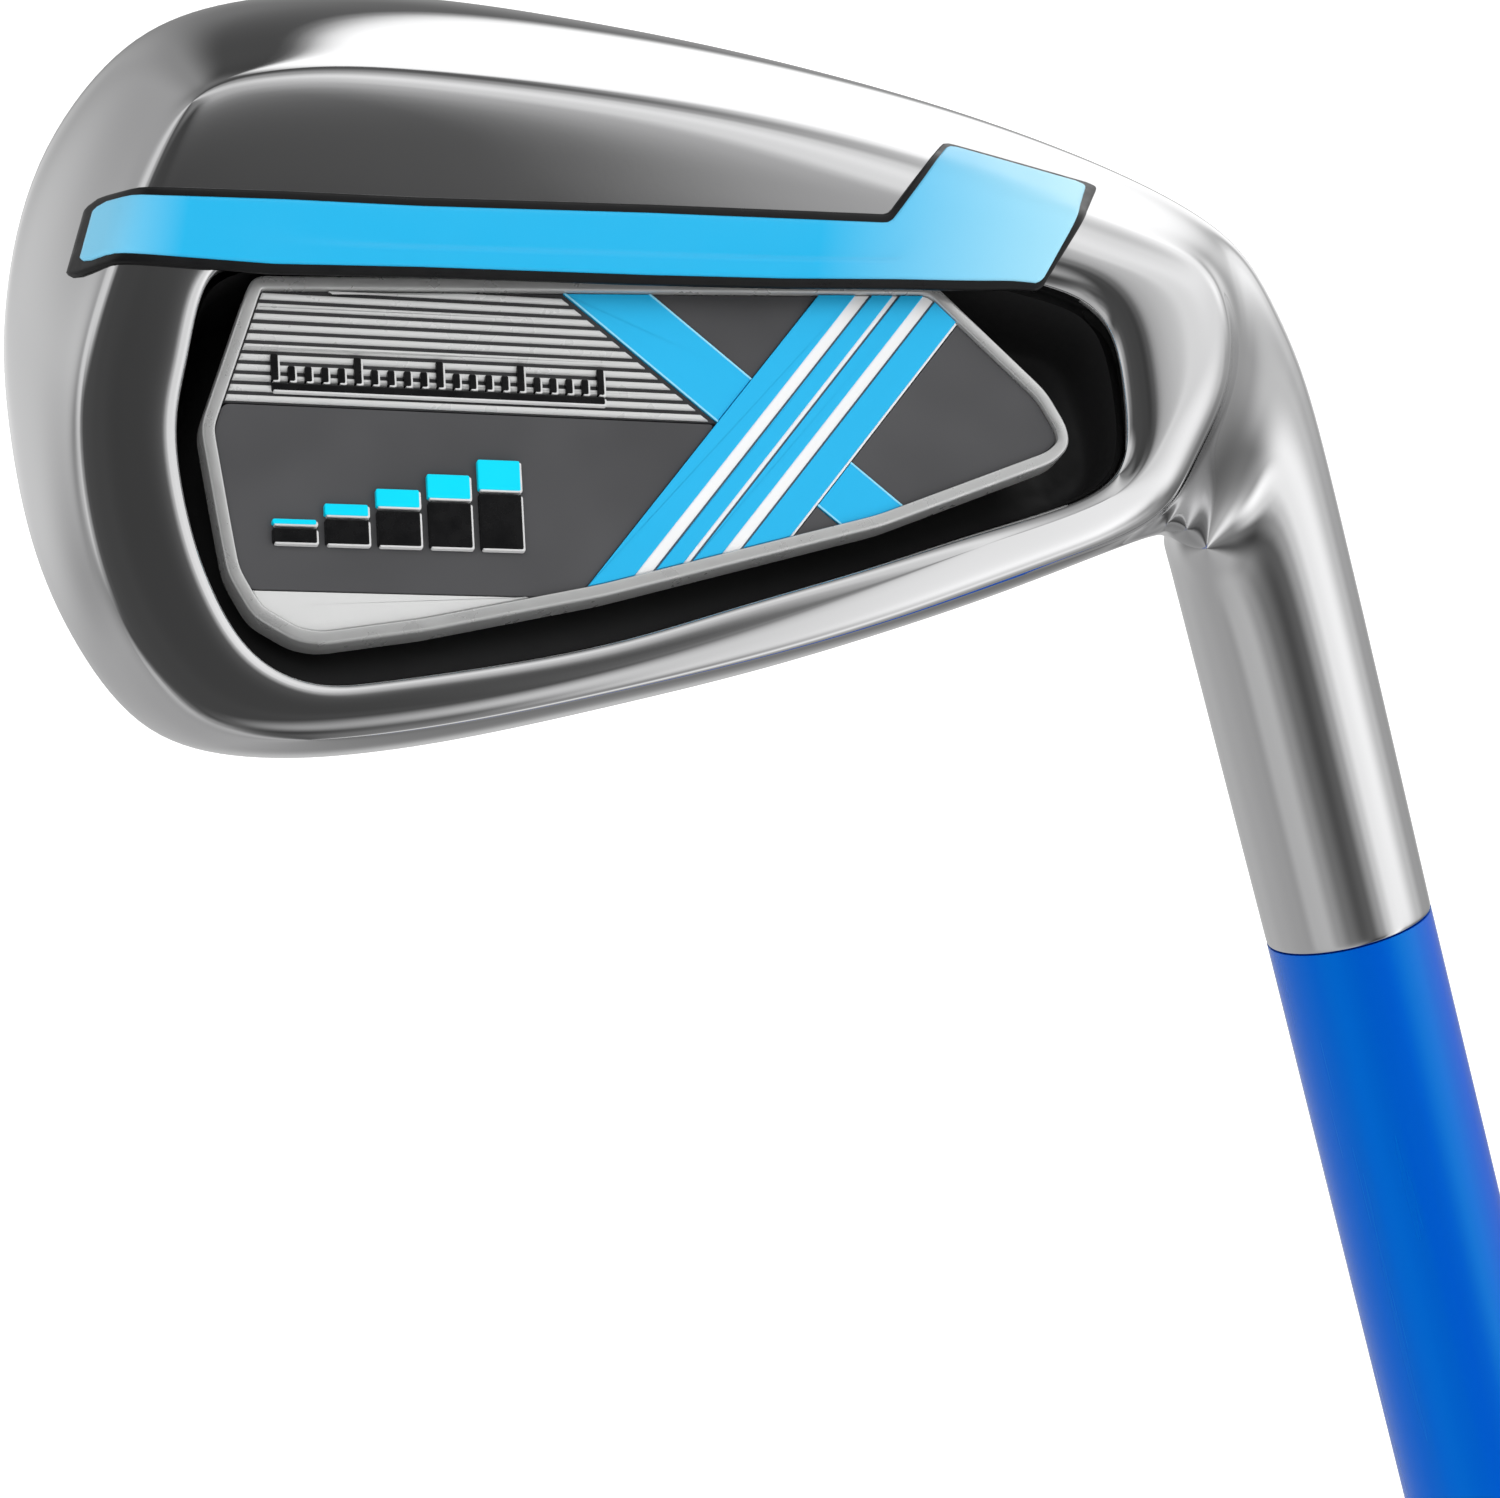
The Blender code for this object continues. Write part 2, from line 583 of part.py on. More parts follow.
def make_badge_plate():
    """A thin cast plate with a pocket: its outer side, rim and pocket floor."""
    outer = BADGE_OUTLINE
    inner = offset_polygon(BADGE_OUTLINE, BADGE_RIM)
    count = len(outer)
    points = [head_to_club(p, q, badge_bottom(p, q)) for p, q in outer]
    points += [head_to_club(p, q, badge_top(p, q)) for p, q in outer]
    points += [head_to_club(p, q, badge_top(p, q)) for p, q in inner]
    points += [head_to_club(p, q, pocket_floor(p, q)) for p, q in inner]
    faces = [list(range(count)), list(range(3 * count, 4 * count))]
    for row in range(3):
        for i in range(count):
            j = (i + 1) % count
            low, high = row * count, (row + 1) * count
            faces.append((low + i, low + j, high + j, high + i))
    add_object("badge_plate", points, faces, "silver")


def make_badge_pad():
    outline = offset_polygon(BADGE_OUTLINE, PAD_INSET)
    prism(
        "badge_adhesive_pad", outline,
        lambda p, q: FACE_WALL + GAP,
        lambda p, q: badge_bottom(p, q) - GAP,
        "black_paint",
    )


def make_inlays():
    cross_low, cross_high = CROSS_EDGES
    main_low, main_high = MAIN_EDGES
    toe_side = (MAIN_NORMAL, main_low, False)
    heel_side = (MAIN_NORMAL, main_high, True)
    under_cross = (CROSS_NORMAL, cross_low, False)
    over_cross = (CROSS_NORMAL, cross_high, True)
    in_cross = ((CROSS_NORMAL, cross_low, True), (CROSS_NORMAL, cross_high, False))
    below_grille = (LEVEL_NORMAL, GRILLE_EDGE, False)
    above_corner = (LEVEL_NORMAL, CORNER_EDGE, True)
    plates = (
        ("badge_field_toe", "dark_grey", (toe_side, under_cross, below_grille, above_corner)),
        ("badge_field_sole", "dark_grey", (toe_side, over_cross)),
        ("badge_field_heel", "dark_grey", (heel_side, over_cross)),
        ("badge_field_top", "dark_grey", (heel_side, under_cross)),
        ("badge_corner_plate", "light_grey", (toe_side, (LEVEL_NORMAL, CORNER_EDGE, False))),
        ("cross_stripe_toe", "sky_blue", (toe_side, *in_cross)),
        ("cross_stripe_heel", "sky_blue", (heel_side, *in_cross)),
        ("main_stripe_base", "white", ((MAIN_NORMAL, main_low, True), (MAIN_NORMAL, main_high, False))),
    )
    for name, finish, sides in plates:
        prism(name, inlay_area(*sides), inlay_low, inlay_high, finish)

    edges = [main_low, *(edge for line in MAIN_LINES for edge in line), main_high]
    low, high = above_inlay(BAR_THICKNESS)
    for i in range(len(edges) // 2):
        sides = ((MAIN_NORMAL, edges[2 * i], True), (MAIN_NORMAL, edges[2 * i + 1], False))
        prism(f"main_stripe_bar_{i + 1}", inlay_area(*sides, margin=0.0), low, high, "sky_blue")


def make_grille():
    """The ribbed plate: a flat inlay with straight grooves along the level lines."""
    toe_side = (MAIN_NORMAL, MAIN_EDGES[0], False)
    area = inlay_area(toe_side, (CROSS_NORMAL, CROSS_EDGES[0] - GAP, False), (LEVEL_NORMAL, GRILLE_EDGE, True))
    grille = prism("badge_grille", area, inlay_low, inlay_high, "silver")
    along = (LEVEL_NORMAL[1], -LEVEL_NORMAL[0])
    heights = [LEVEL_NORMAL[0] * p + LEVEL_NORMAL[1] * q for p, q in area]
    reach = [along[0] * p + along[1] * q for p, q in area]
    start, end = min(reach) - CUTTER_REACH, max(reach) + CUTTER_REACH

    def place(distance, height):
        return tuple(along[k] * distance + LEVEL_NORMAL[k] * height for k in range(2))

    points, faces = [], []
    height = GRILLE_EDGE + 0.5 * GAP + 0.5 * RIB_PITCH
    while height + RIB_GROOVE < max(heights):
        outline = [place(d, height + h) for d, h in
                   ((start, 0.0), (end, 0.0), (end, RIB_GROOVE), (start, RIB_GROOVE))]
        add_block(points, faces, outline, lambda p, q: inlay_high(p, q) - RIB_DEPTH,
                  lambda p, q: inlay_high(p, q) + CUTTER_REACH)
        height += RIB_PITCH
    cut_with(grille, "grille_cutter", points, faces)


def make_ornaments():
    """A comb of ticks over the grille and a stepped bar on the dark field."""
    along = (LEVEL_NORMAL[1], -LEVEL_NORMAL[0])

    def place(start, distance, height):
        return tuple(start[k] + along[k] * distance + LEVEL_NORMAL[k] * height for k in range(2))

    low, high = above_inlay(ORNAMENT_THICKNESS)
    pitch = TICK_ROW_LENGTH / (2 * TICKS - 1)
    base = TICK_BASE_SHARE * TICK_ROW_HEIGHT
    comb = [(0.0, 0.0), (TICK_ROW_LENGTH, 0.0)]
    for i in reversed(range(TICKS)):
        left, right = 2 * i * pitch, (2 * i + 1) * pitch
        comb += [(right, TICK_ROW_HEIGHT), (left, TICK_ROW_HEIGHT)]
        if i:
            comb += [(left, base), (left - pitch, base)]
    prism("grille_tick_row", [place(TICK_ROW_START, *point) for point in comb], low, high, "black_paint")

    steps = [(0.0, 0.0), (STEP_BAR_LENGTH, 0.0)]
    width = STEP_BAR_LENGTH / len(STEP_BAR_HEIGHTS)
    for i, height in reversed(list(enumerate(STEP_BAR_HEIGHTS))):
        steps += [((i + 1) * width, height), (i * width, height)]
    prism("badge_step_motif", [place(STEP_BAR_START, *point) for point in steps], low, high, "sky_blue")


def add_block(points, faces, outline, low, high):
    """Adds a prism between two depths to a cutter's points and faces."""
    start, count = len(points), len(outline)
    points += [head_to_club(p, q, low(p, q)) for p, q in outline]
    points += [head_to_club(p, q, high(p, q)) for p, q in outline]
    faces.append([start + i for i in range(count)])
    faces.append([start + count + i for i in range(count)])
    for i in range(count):
        j = (i + 1) % count
        faces.append((start + i, start + j, start + count + j, start + count + i))


def cut_with(thing, name, points, faces):
    """Cuts a thing with a hidden cutter made of the points and faces."""
    cutter = add_object(name, points, faces, "steel")
    cutter.hide_render = True
    cutter.display_type = "WIRE"
    modifier = thing.modifiers.new(name, "BOOLEAN")
    modifier.operation = "DIFFERENCE"
    modifier.solver = "EXACT"
    modifier.object = cutter


def cut_score_lines(head):
    face = np.array([row[0] for row in STATIONS])
    area = [tuple(point) for point in face - SCORE_EDGE_INSET * outward(face)]
    points, faces = [], []
    for i in range(SCORE_LINES):
        q = SCORE_FIRST_Q - i * SCORE_PITCH
        outline = cut(area, (0.0, 1.0), q - 0.5 * SCORE_WIDTH, True)
        outline = cut(outline, (0.0, 1.0), q + 0.5 * SCORE_WIDTH, False)
        outline = cut(outline, (1.0, 0.0), SCORE_TOE_P, True)
        outline = cut(outline, (1.0, 0.0), SCORE_HEEL_P, False)
        add_block(points, faces, outline, lambda p, q: -CUTTER_REACH, lambda p, q: SCORE_DEPTH)
    cut_with(head, "score_line_cutter", points, faces)


# ---------------------------------------------------------------- the band over the back
def on_back(surface, p, q, over_cavity):
    """A place on the casting's back and its outward normal; over the cavity, the back plane carries on."""
    hit, normal, _, _ = surface.ray_cast(head_to_club(p, q, 4.0 * BACK_AT_ORIGIN) / METRE, -BACK_NORMAL)
    place = hit * METRE
    flat = head_to_club(p, q, back_plane(p, q))
    if over_cavity and p > BRIDGE_FROM and (flat - place).dot(BACK_NORMAL) > 0.0:
        slope = -BACK_SLOPE_P * SCORE_DIRECTION - BACK_SLOPE_Q * SOLE_DIRECTION
        return flat, (BACK_NORMAL + slope).normalized()
    return place, normal


def laid_strip(name, pairs, rows, surface, lift, thickness, finish):
    """A thin strip laid on the casting: pairs of edge points, filled across, a lift above the surface."""
    low, high = [], []
    for first, second in pairs:
        for share in rows:
            p, q = (first[k] + share * (second[k] - first[k]) for k in range(2))
            place, normal = on_back(surface, p, q, over_cavity=share > 0.5)
            low.append(place + normal * lift)
            high.append(place + normal * (lift + thickness))
    width, length, layer = len(rows), len(pairs), len(low)
    faces = []
    for i in range(length - 1):
        for j in range(width - 1):
            a, b = i * width + j, (i + 1) * width + j
            faces.append((a, a + 1, b + 1, b))
            faces.append((layer + a, layer + b, layer + b + 1, layer + a + 1))
    border = [i * width for i in range(length)]
    border += [(length - 1) * width + j for j in range(1, width)]
    border += [i * width + width - 1 for i in reversed(range(length - 1))]
    border += list(reversed(range(1, width - 1)))
    for a, b in zip(border, border[1:] + border[:1]):
        faces.append((a, b, layer + b, layer + a))
    add_object(name, low + high, faces, finish)


def narrowed(pairs, width):
    """The pairs moved in by a border's width from both edges and both ends."""
    moved = []
    for first, second in pairs:
        a, b = Vector(first), Vector(second)
        step = (b - a).normalized() * width
        moved.append([a + step, b - step])
    for end, inner in ((0, 1), (-1, -2)):
        for k in range(2):
            along = moved[inner][k] - moved[end][k]
            moved[end][k] = moved[end][k] + along.normalized() * min(width, END_SHARE * along.length)
    return [(tuple(first), tuple(second)) for first, second in moved]


def make_band(surface):
    laid_strip("band_border", BAND_PAIRS, BAND_ROWS, surface, GAP, BAND_BORDER_THICKNESS, "black_paint")
    lift = 2.0 * GAP + BAND_BORDER_THICKNESS
    inner = narrowed(BAND_PAIRS, BAND_BORDER_WIDTH)
    laid_strip("back_band", inner, BAND_ROWS, surface, lift, BAND_THICKNESS, "sky_blue")


# ---------------------------------------------------------------- shaft, grip and joint with the head
def joint_heights():
    """Where the shaft bends, from the grip's mouth to the hosel's."""
    low = GRIP_LENGTH + JOINT_END_MARGIN
    high = MOUTH_Z - JOINT_END_MARGIN - LENS_RADIUS
    step = (high - low) / (JOINT_COUNT - 1)
    return [low + i * step for i in range(JOINT_COUNT)]


def dome(centre, radius, steps=4):
    """(radius, z) points of a round end, from the shaft's side to its axis."""
    widest = math.asin(SHAFT_RADIUS / radius)
    points = []
    for i in range(steps + 1):
        turn = widest * (1.0 - i / steps)
        points.append((radius * math.sin(turn) if i < steps else 0.0, centre + radius * math.cos(turn)))
    return points


def make_shaft():
    """The rod as straight lengths that meet in round ends, each centred on the joint it turns about."""
    heights = joint_heights()
    butt = GRIP_CAP_THICKNESS + GAP
    bottom = [(0.0, butt), (SHAFT_RADIUS - ROD_CHAMFER, butt), (SHAFT_RADIUS, butt + ROD_CHAMFER)]
    for i, height in enumerate(heights):
        turned(f"shaft_length_{i + 1:02d}", bottom + dome(height, LENS_RADIUS), "shaft_blue", sides=16)
        bottom = list(reversed(dome(height, LENS_RADIUS + LENS_GAP)))
    shoulder = MOUTH_Z - GAP
    top = MOUTH_Z + TENON_LENGTH
    tenon = [
        (SHAFT_RADIUS, shoulder), (TENON_RADIUS, shoulder),
        (TENON_RADIUS, top - TENON_CHAMFER), (TENON_RADIUS - TENON_CHAMFER, top), (0.0, top),
    ]
    turned(f"shaft_length_{len(heights) + 1:02d}", bottom + tenon, "shaft_blue", sides=16)


def ring_profile(inner, outer, low, high):
    return [(inner, low), (outer, low), (outer, high), (inner, high)]


def make_bond():
    low, high = MOUTH_Z + BOND_END_MARGIN, MOUTH_Z + TENON_LENGTH - BOND_END_MARGIN
    turned("hosel_bond", ring_profile(BOND_RADIUS, BOND_RADIUS + BOND_THICKNESS, low, high), "epoxy", sides=16)


def make_grip():
    sleeve = GRIP_LENGTH - GRIP_CAP_THICKNESS
    outer = [(SLEEVE_BORE + wall, GRIP_CAP_THICKNESS + share * sleeve) for share, wall in GRIP_WALLS]
    mouth = SLEEVE_BORE + GRIP_MOUTH_WALL
    chamfer_out, chamfer_down = SLEEVE_BORE_CHAMFER
    end = [
        (mouth, GRIP_LENGTH - GRIP_MOUTH_ROUND), (mouth - 0.5 * GRIP_MOUTH_ROUND, GRIP_LENGTH),
        (SLEEVE_BORE + chamfer_out, GRIP_LENGTH), (SLEEVE_BORE, GRIP_LENGTH - chamfer_down),
        (SLEEVE_BORE, GRIP_CAP_THICKNESS),
    ]
    turned("grip_sleeve", outer + end, "rubber")
    low, high = GRIP_CAP_THICKNESS + TAPE_BUTT_MARGIN, GRIP_LENGTH - TAPE_MOUTH_MARGIN
    turned("grip_tape", ring_profile(TAPE_RADIUS, TAPE_RADIUS + TAPE_THICKNESS, low, high), "tape")
    rim = outer[0][0]
    cap_top = GRIP_CAP_THICKNESS - GAP
    cap = [(VENT_RADIUS, 0.0), *((rim - inward, up) for inward, up in CAP_ROUND)]
    cap += [(rim, cap_top), (VENT_RADIUS, cap_top)]
    turned("grip_end_cap", cap, "rubber")


# ---------------------------------------------------------------- building
def clear_scene():
    for thing in list(bpy.data.objects):
        bpy.data.objects.remove(thing, do_unlink=True)


def main():
    clear_scene()
    head = make_head()
    surface = surface_of(head)
    cut_score_lines(head)
    make_band(surface)
    make_badge_plate()
    make_badge_pad()
    make_inlays()
    make_grille()
    make_ornaments()
    make_bond()
    make_shaft()
    make_grip()


main()
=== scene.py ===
"""Looks of the swing trainer stick: fine head, badge, band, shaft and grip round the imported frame.

The club stands along +Z on its butt; the toe points to -X and the cavity back looks to -Y. Shapes are worked
out in millimetres and turned into metres when a mesh is made.
"""

import json
import math

import bmesh
import bpy
import numpy as np
from mathutils import Matrix, Vector
from mathutils.bvhtree import BVHTree

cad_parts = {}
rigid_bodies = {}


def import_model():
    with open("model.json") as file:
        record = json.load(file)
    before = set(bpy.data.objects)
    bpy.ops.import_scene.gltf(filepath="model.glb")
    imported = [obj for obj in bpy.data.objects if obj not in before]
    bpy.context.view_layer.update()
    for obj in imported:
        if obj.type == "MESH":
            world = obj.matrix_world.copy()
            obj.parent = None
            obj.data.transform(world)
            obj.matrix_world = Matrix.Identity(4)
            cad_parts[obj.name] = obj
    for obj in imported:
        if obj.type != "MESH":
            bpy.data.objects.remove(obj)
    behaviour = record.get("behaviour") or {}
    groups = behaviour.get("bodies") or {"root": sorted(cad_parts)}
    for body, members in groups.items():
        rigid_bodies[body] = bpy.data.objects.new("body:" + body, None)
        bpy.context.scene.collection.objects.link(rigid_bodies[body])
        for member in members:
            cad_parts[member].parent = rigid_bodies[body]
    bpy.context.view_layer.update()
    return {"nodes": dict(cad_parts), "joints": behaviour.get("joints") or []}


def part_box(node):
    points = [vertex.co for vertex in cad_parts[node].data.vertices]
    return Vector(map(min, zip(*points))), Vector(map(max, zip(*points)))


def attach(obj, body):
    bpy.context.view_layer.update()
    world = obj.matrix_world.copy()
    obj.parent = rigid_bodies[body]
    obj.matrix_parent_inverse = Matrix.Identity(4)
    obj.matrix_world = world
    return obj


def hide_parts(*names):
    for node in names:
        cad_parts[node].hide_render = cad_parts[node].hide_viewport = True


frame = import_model()

MM = 1000.0

# ---------------------------------------------------------------- sizes read from the frame (mm)
HEAD_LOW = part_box("head_casting")[0]
MOUTH_Z = HEAD_LOW.z * MM
SHAFT_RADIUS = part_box("shaft_length_05")[1].x * MM
TENON_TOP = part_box("shaft_length_13")[1].z * MM
GRIP_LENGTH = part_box("grip_sleeve")[1].z * MM
CAP_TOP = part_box("grip_end_cap")[1].z * MM
SLEEVE_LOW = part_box("grip_sleeve")[0].z * MM
BUTT_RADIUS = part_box("grip_sleeve")[1].x * MM
JOINTS = sorted(frame["joints"], key=lambda joint: joint["pos_m"][2])  # from the grip to the head
JOINT_HEIGHTS = [joint["pos_m"][2] * MM for joint in JOINTS]

# ---------------------------------------------------------------- the head's own sizes, as designed (mm, degrees)
LOFT = 33.0
LIE = 62.0
HOSEL_LENGTH = 50.0
HOSEL_SWELL = 0.2
HOSEL_WALL = 1.2
HOSEL_ROOT = 17.5
HOSEL_ROOT_SLANT = 4.5
BORE_TO_FACE = 22.5
EDGE_RADIUS = 0.8
FACE_FLAT_INSET = 3.2
TOE_ROLL = 0.9
HEEL_ROLL = 2.2
ROLL_GROWS = (-45.0, -15.0)
TOP_BELLY = 0.3
SOLE_BELLY = 3.2
FACE_WALL = 2.6
BACK_AT_ORIGIN = 12.97
BACK_SLOPE_Q = 0.2407
BACK_SLOPE_P = -0.0752
CAVITY_DRAFT = 0.05
LIP_WIDTH = 1.3
SCORE_LINES = 14
SCORE_PITCH = 2.9
SCORE_WIDTH = 0.8
SCORE_DEPTH = 0.4
SCORE_FIRST_Q = 0.6
SCORE_ENDS = (-63.0, -9.0)
HEAD_SMOOTHING = 3

BADGE_DROP = 1.2
BADGE_THICKNESS = 1.5
BADGE_RIM = 0.8
POCKET_DEPTH = 1.1
FIELD_DROP = 0.35  # enamel fields below the rim

# (p, q) in the face plane, from the toe round by the sole: the face's outline, the back ridge, the cavity's mouth
STATIONS = (
    ((-80.3, -23.0), (-75.6, -26.0), (-69.9, -30.6)),
    ((-79.3, -13.0), (-73.8, -18.2), (-69.6, -26.6)),
    ((-75.3, -4.2), (-71.5, -14.0), (-67.9, -23.9)),
    ((-70.0, 0.5), (-67.5, -11.8), (-63.0, -21.9)),
    ((-63.0, 3.4), (-62.0, -10.2), (-57.0, -20.4)),
    ((-55.0, 5.2), (-54.5, -8.9), (-50.5, -19.0)),
    ((-46.0, 6.0), (-46.5, -7.8), (-43.5, -17.5)),
    ((-37.0, 6.3), (-37.5, -6.8), (-36.0, -15.8)),
    ((-28.0, 6.2), (-28.5, -6.2), (-28.5, -14.1)),
    ((-19.0, 5.7), (-20.0, -6.2), (-21.5, -12.6)),
    ((-10.5, 4.6), (-12.0, -6.8), (-15.8, -12.3)),
    ((-3.5, 2.9), (-6.5, -7.3), (-11.9, -12.6)),
    ((1.0, 1.2), (-2.9, -8.5), (-9.8, -14.3)),
    ((3.6, -3.5), (-1.1, -11.7), (-8.7, -17.4)),
    ((3.4, -10.0), (-1.1, -16.0), (-8.2, -20.4)),
    ((0.4, -17.0), (-2.8, -20.9), (-8.9, -23.1)),
    ((-4.6, -23.3), (-5.6, -25.4), (-12.3, -25.8)),
    ((-13.0, -29.3), (-13.3, -30.3), (-18.5, -29.2)),
    ((-22.0, -34.4), (-22.3, -35.4), (-25.5, -33.1)),
    ((-31.0, -39.1), (-31.4, -40.0), (-33.5, -37.2)),
    ((-40.0, -43.3), (-40.5, -44.1), (-41.5, -41.2)),
    ((-48.5, -47.0), (-49.0, -47.6), (-49.5, -44.4)),
    ((-56.0, -49.7), (-56.5, -50.2), (-55.5, -46.5)),
    ((-62.5, -51.1), (-62.2, -51.5), (-59.6, -47.5)),
    ((-68.5, -50.4), (-67.0, -50.9), (-63.4, -46.6)),
    ((-73.3, -45.9), (-71.7, -46.8), (-66.3, -43.6)),
    ((-76.9, -39.3), (-74.9, -40.6), (-68.4, -39.7)),
    ((-79.3, -31.0), (-76.3, -33.6), (-69.9, -34.8)),
)
HEEL_FIRST = 12
HEEL_LAST = 16

BADGE_OUTLINE = (
    (-66.8, -24.0), (-68.6, -33.7), (-66.6, -39.5), (-65.7, -42.0), (-63.8, -44.2), (-61.0, -45.1),
    (-59.3, -45.0), (-53.0, -42.8), (-42.0, -38.3), (-24.1, -29.9), (-12.6, -23.1), (-11.6, -21.8),
    (-11.9, -20.6), (-13.7, -18.6), (-22.5, -13.5),
)
CROSS_NORMAL = (0.447, 0.894)
CROSS_EDGES = (-39.1, -35.3)
MAIN_NORMAL = (0.858, -0.514)
MAIN_EDGES = (-17.55, -9.40)
MAIN_LINES = ((-15.70, -14.87), (-13.80, -13.42), (-12.25, -11.43))
# the white line along the broad stripe's heel side is a painted highlight on the stripe's lit edge
MAIN_HIGHLIGHT_LINE = 0.16  # white line along the broad stripe's heel side
LEVEL_NORMAL = (-0.188, 0.982)
GRILLE_EDGE = -18.64
CORNER_EDGE = -29.72
RIB_PITCH = 0.62
RIB_WIDTH = 0.38
RIB_END_GAP = 0.35

TICK_ROW_START = (-64.6, -30.6)
TICK_ROW_LENGTH = 21.5
TICK_ROW_HEIGHT = 2.2
TICKS = 11
STEP_BAR_START = (-63.2, -39.6)
STEP_BAR_LENGTH = 16.5
STEP_BAR_HEIGHTS = (1.4, 2.4, 3.4, 4.4, 5.4)

# (sole-side edge, cavity-side edge) of the coloured band, from the toe's bevel to the heel
BAND_PAIRS = (
    ((-76.9, -20.5), (-77.5, -25.4)), ((-76.3, -20.4), (-76.9, -25.6)), ((-75.7, -20.6), (-76.3, -25.8)),
    ((-75.0, -20.9), (-75.6, -26.0)), ((-74.3, -21.0), (-74.8, -25.9)), ((-73.2, -20.8), (-73.6, -25.7)),
    ((-65.5, -19.1), (-66.0, -24.4)), ((-57.3, -17.4), (-56.6, -22.3)), ((-42.5, -14.1), (-42.0, -19.2)),
    ((-34.5, -12.4), (-33.0, -17.2)), ((-26.5, -10.7), (-25.5, -15.4)), ((-25.1, -8.2), (-23.3, -14.9)),
    ((-23.6, -5.6), (-21.1, -14.4)), ((-22.0, -2.9), (-19.4, -14.0)), ((-16.0, -2.5), (-17.5, -13.5)),
    ((-10.1, -2.1), (-15.4, -13.1)),
)
BAND_BORDER_WIDTH = 0.6
BRIDGE_FROM = (-72.6, -71.4)  # p from which the band's edge reaches out over the cavity
BRIDGE_SHARES = (0.35, 0.65)

# ---------------------------------------------------------------- directions of the head
FACE_Z = MOUTH_Z + HOSEL_LENGTH
BORE_RADIUS = SHAFT_RADIUS - HOSEL_WALL
BORE_DEPTH = HOSEL_LENGTH - BORE_TO_FACE
BACK_NORMAL = Vector((
    math.sin(math.radians(LOFT)) * math.cos(math.radians(LIE)),
    -math.cos(math.radians(LOFT)),
    math.sin(math.radians(LOFT)) * math.sin(math.radians(LIE)),
))
SCORE_DIRECTION = Vector((math.sin(math.radians(LIE)), 0.0, -math.cos(math.radians(LIE))))
SOLE_DIRECTION = BACK_NORMAL.cross(SCORE_DIRECTION)
HEAD_ORIGIN = Vector((0.0, 0.0, FACE_Z))


def head_to_club(p, q, r):
    """A point of the head (p, q along the face, r behind it) in the club's frame, in mm."""
    return HEAD_ORIGIN + float(p) * SCORE_DIRECTION + float(q) * SOLE_DIRECTION + float(r) * BACK_NORMAL


def back_plane(p, q):
    """Depth of the flat back frame behind the face."""
    return BACK_AT_ORIGIN + BACK_SLOPE_Q * q + BACK_SLOPE_P * p


def badge_top(p, q):
    return back_plane(p, q) - BADGE_DROP


# ---------------------------------------------------------------- detail that the fine model adds (mm)
LIP_SOFTENS = (-28.0, -12.0)  # p where the cavity's lip turns from crisp to soft
HEEL_LIP_WIDTH = 1.5
# where the skin is relaxed round the hosel's root: distance from the face plane, p, and height
RELAX_DEPTHS = (0.3, 1.5)
RELAX_FROM = (-11.0, -6.0)
RELAX_HEIGHTS = (MOUTH_Z + 20.0, MOUTH_Z + 27.0)
RELAX_ROUNDS = 160
RELAX_PULL = 0.6
RELAX_PUSH = -0.62
NOTCH_PLACE = (1.6, -20.0, -2.6)  # p, q, r where the topline meets the hosel
NOTCH_REACH = (3.0, 7.0)
SCORE_EDGE_INSET = 3.5
BAND_BEND_EASE = 0.35
BAND_CORNER = 0.7
BORDER_LIFT = 0.08
BORDER_THICKNESS = 0.22
BAND_THICKNESS = 0.16
STRIP_STEPS = (0.0, 0.05, 0.12, 0.25)  # rows close to a strip's edge
STRIP_COLUMNS = 20
STRIP_PITCH = 0.4
STRIP_ROUND = 0.22
STRIP_SINK = 0.06
BADGE_CORNER = 1.3
RIM_ROUND = 0.22
RIM_INNER_ROUND = 0.12
SEAM = 0.03
CORNER_PLATE_GAP = 0.12
STRIPE_DROP = 0.28
STRIPE_HIGHLIGHT_LINE = 0.14
WHITE_DROP = 0.26
BAR_DROP = 0.14
SHADE_LINE = 0.12
RIB_DROP = 0.16
ORNAMENT_DROP = -0.05
# how far the ornaments' light edge, a painted highlight, is shifted out from under them
ORNAMENT_HIGHLIGHT_SHIFT = (0.13, -0.07)
SHORT_TICK = 0.68
TICK_WIDTH = 0.46
TICK_GAP = 0.12
STEP_GAP = 0.55
STEP_BLACK_SHARE = 0.62
SHAFT_IN_GRIP = 14.0  # how far the rod is drawn inside the grip's mouth
SHAFT_EDGE_RING = 0.02  # a ring this far before each rounded end keeps the shading straight
SHAFT_RING_PITCH = 2.0
SHAFT_SIDES = 64
JOINT_RINGS = 6
JOINT_SPARE = 0.5  # degrees that a rounded end covers past the joint's range
JOINT_PLAY = 0.02
JOINT_HOLLOW = 0.3  # room to spare in the hollow, behind its rim
TENON_EDGE = 0.6
TENON_CLEARANCE = 0.9
SLEEVE_RING_PITCH = 0.55
SLEEVE_SIDES = 96
GRIP_MOUTH_ROUND = 1.0
GROOVE_DEPTH = 0.3
GROOVE_WIDTH = 0.7
VENT_RADIUS = 1.3
CAP_ROUND = 2.2
SLEEVE_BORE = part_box("grip_tape")[1].x * MM + 0.3
# the sleeve's taper: share of its length from the butt end, rubber over the bore
GRIP_WALLS = (
    (0.0, 6.5), (0.027, 6.1), (0.073, 5.3), (0.165, 4.7), (0.287, 4.1), (0.402, 3.6),
    (0.517, 3.25), (0.632, 2.9), (0.766, 2.4), (0.881, 1.95), (1.0, 1.6),
)
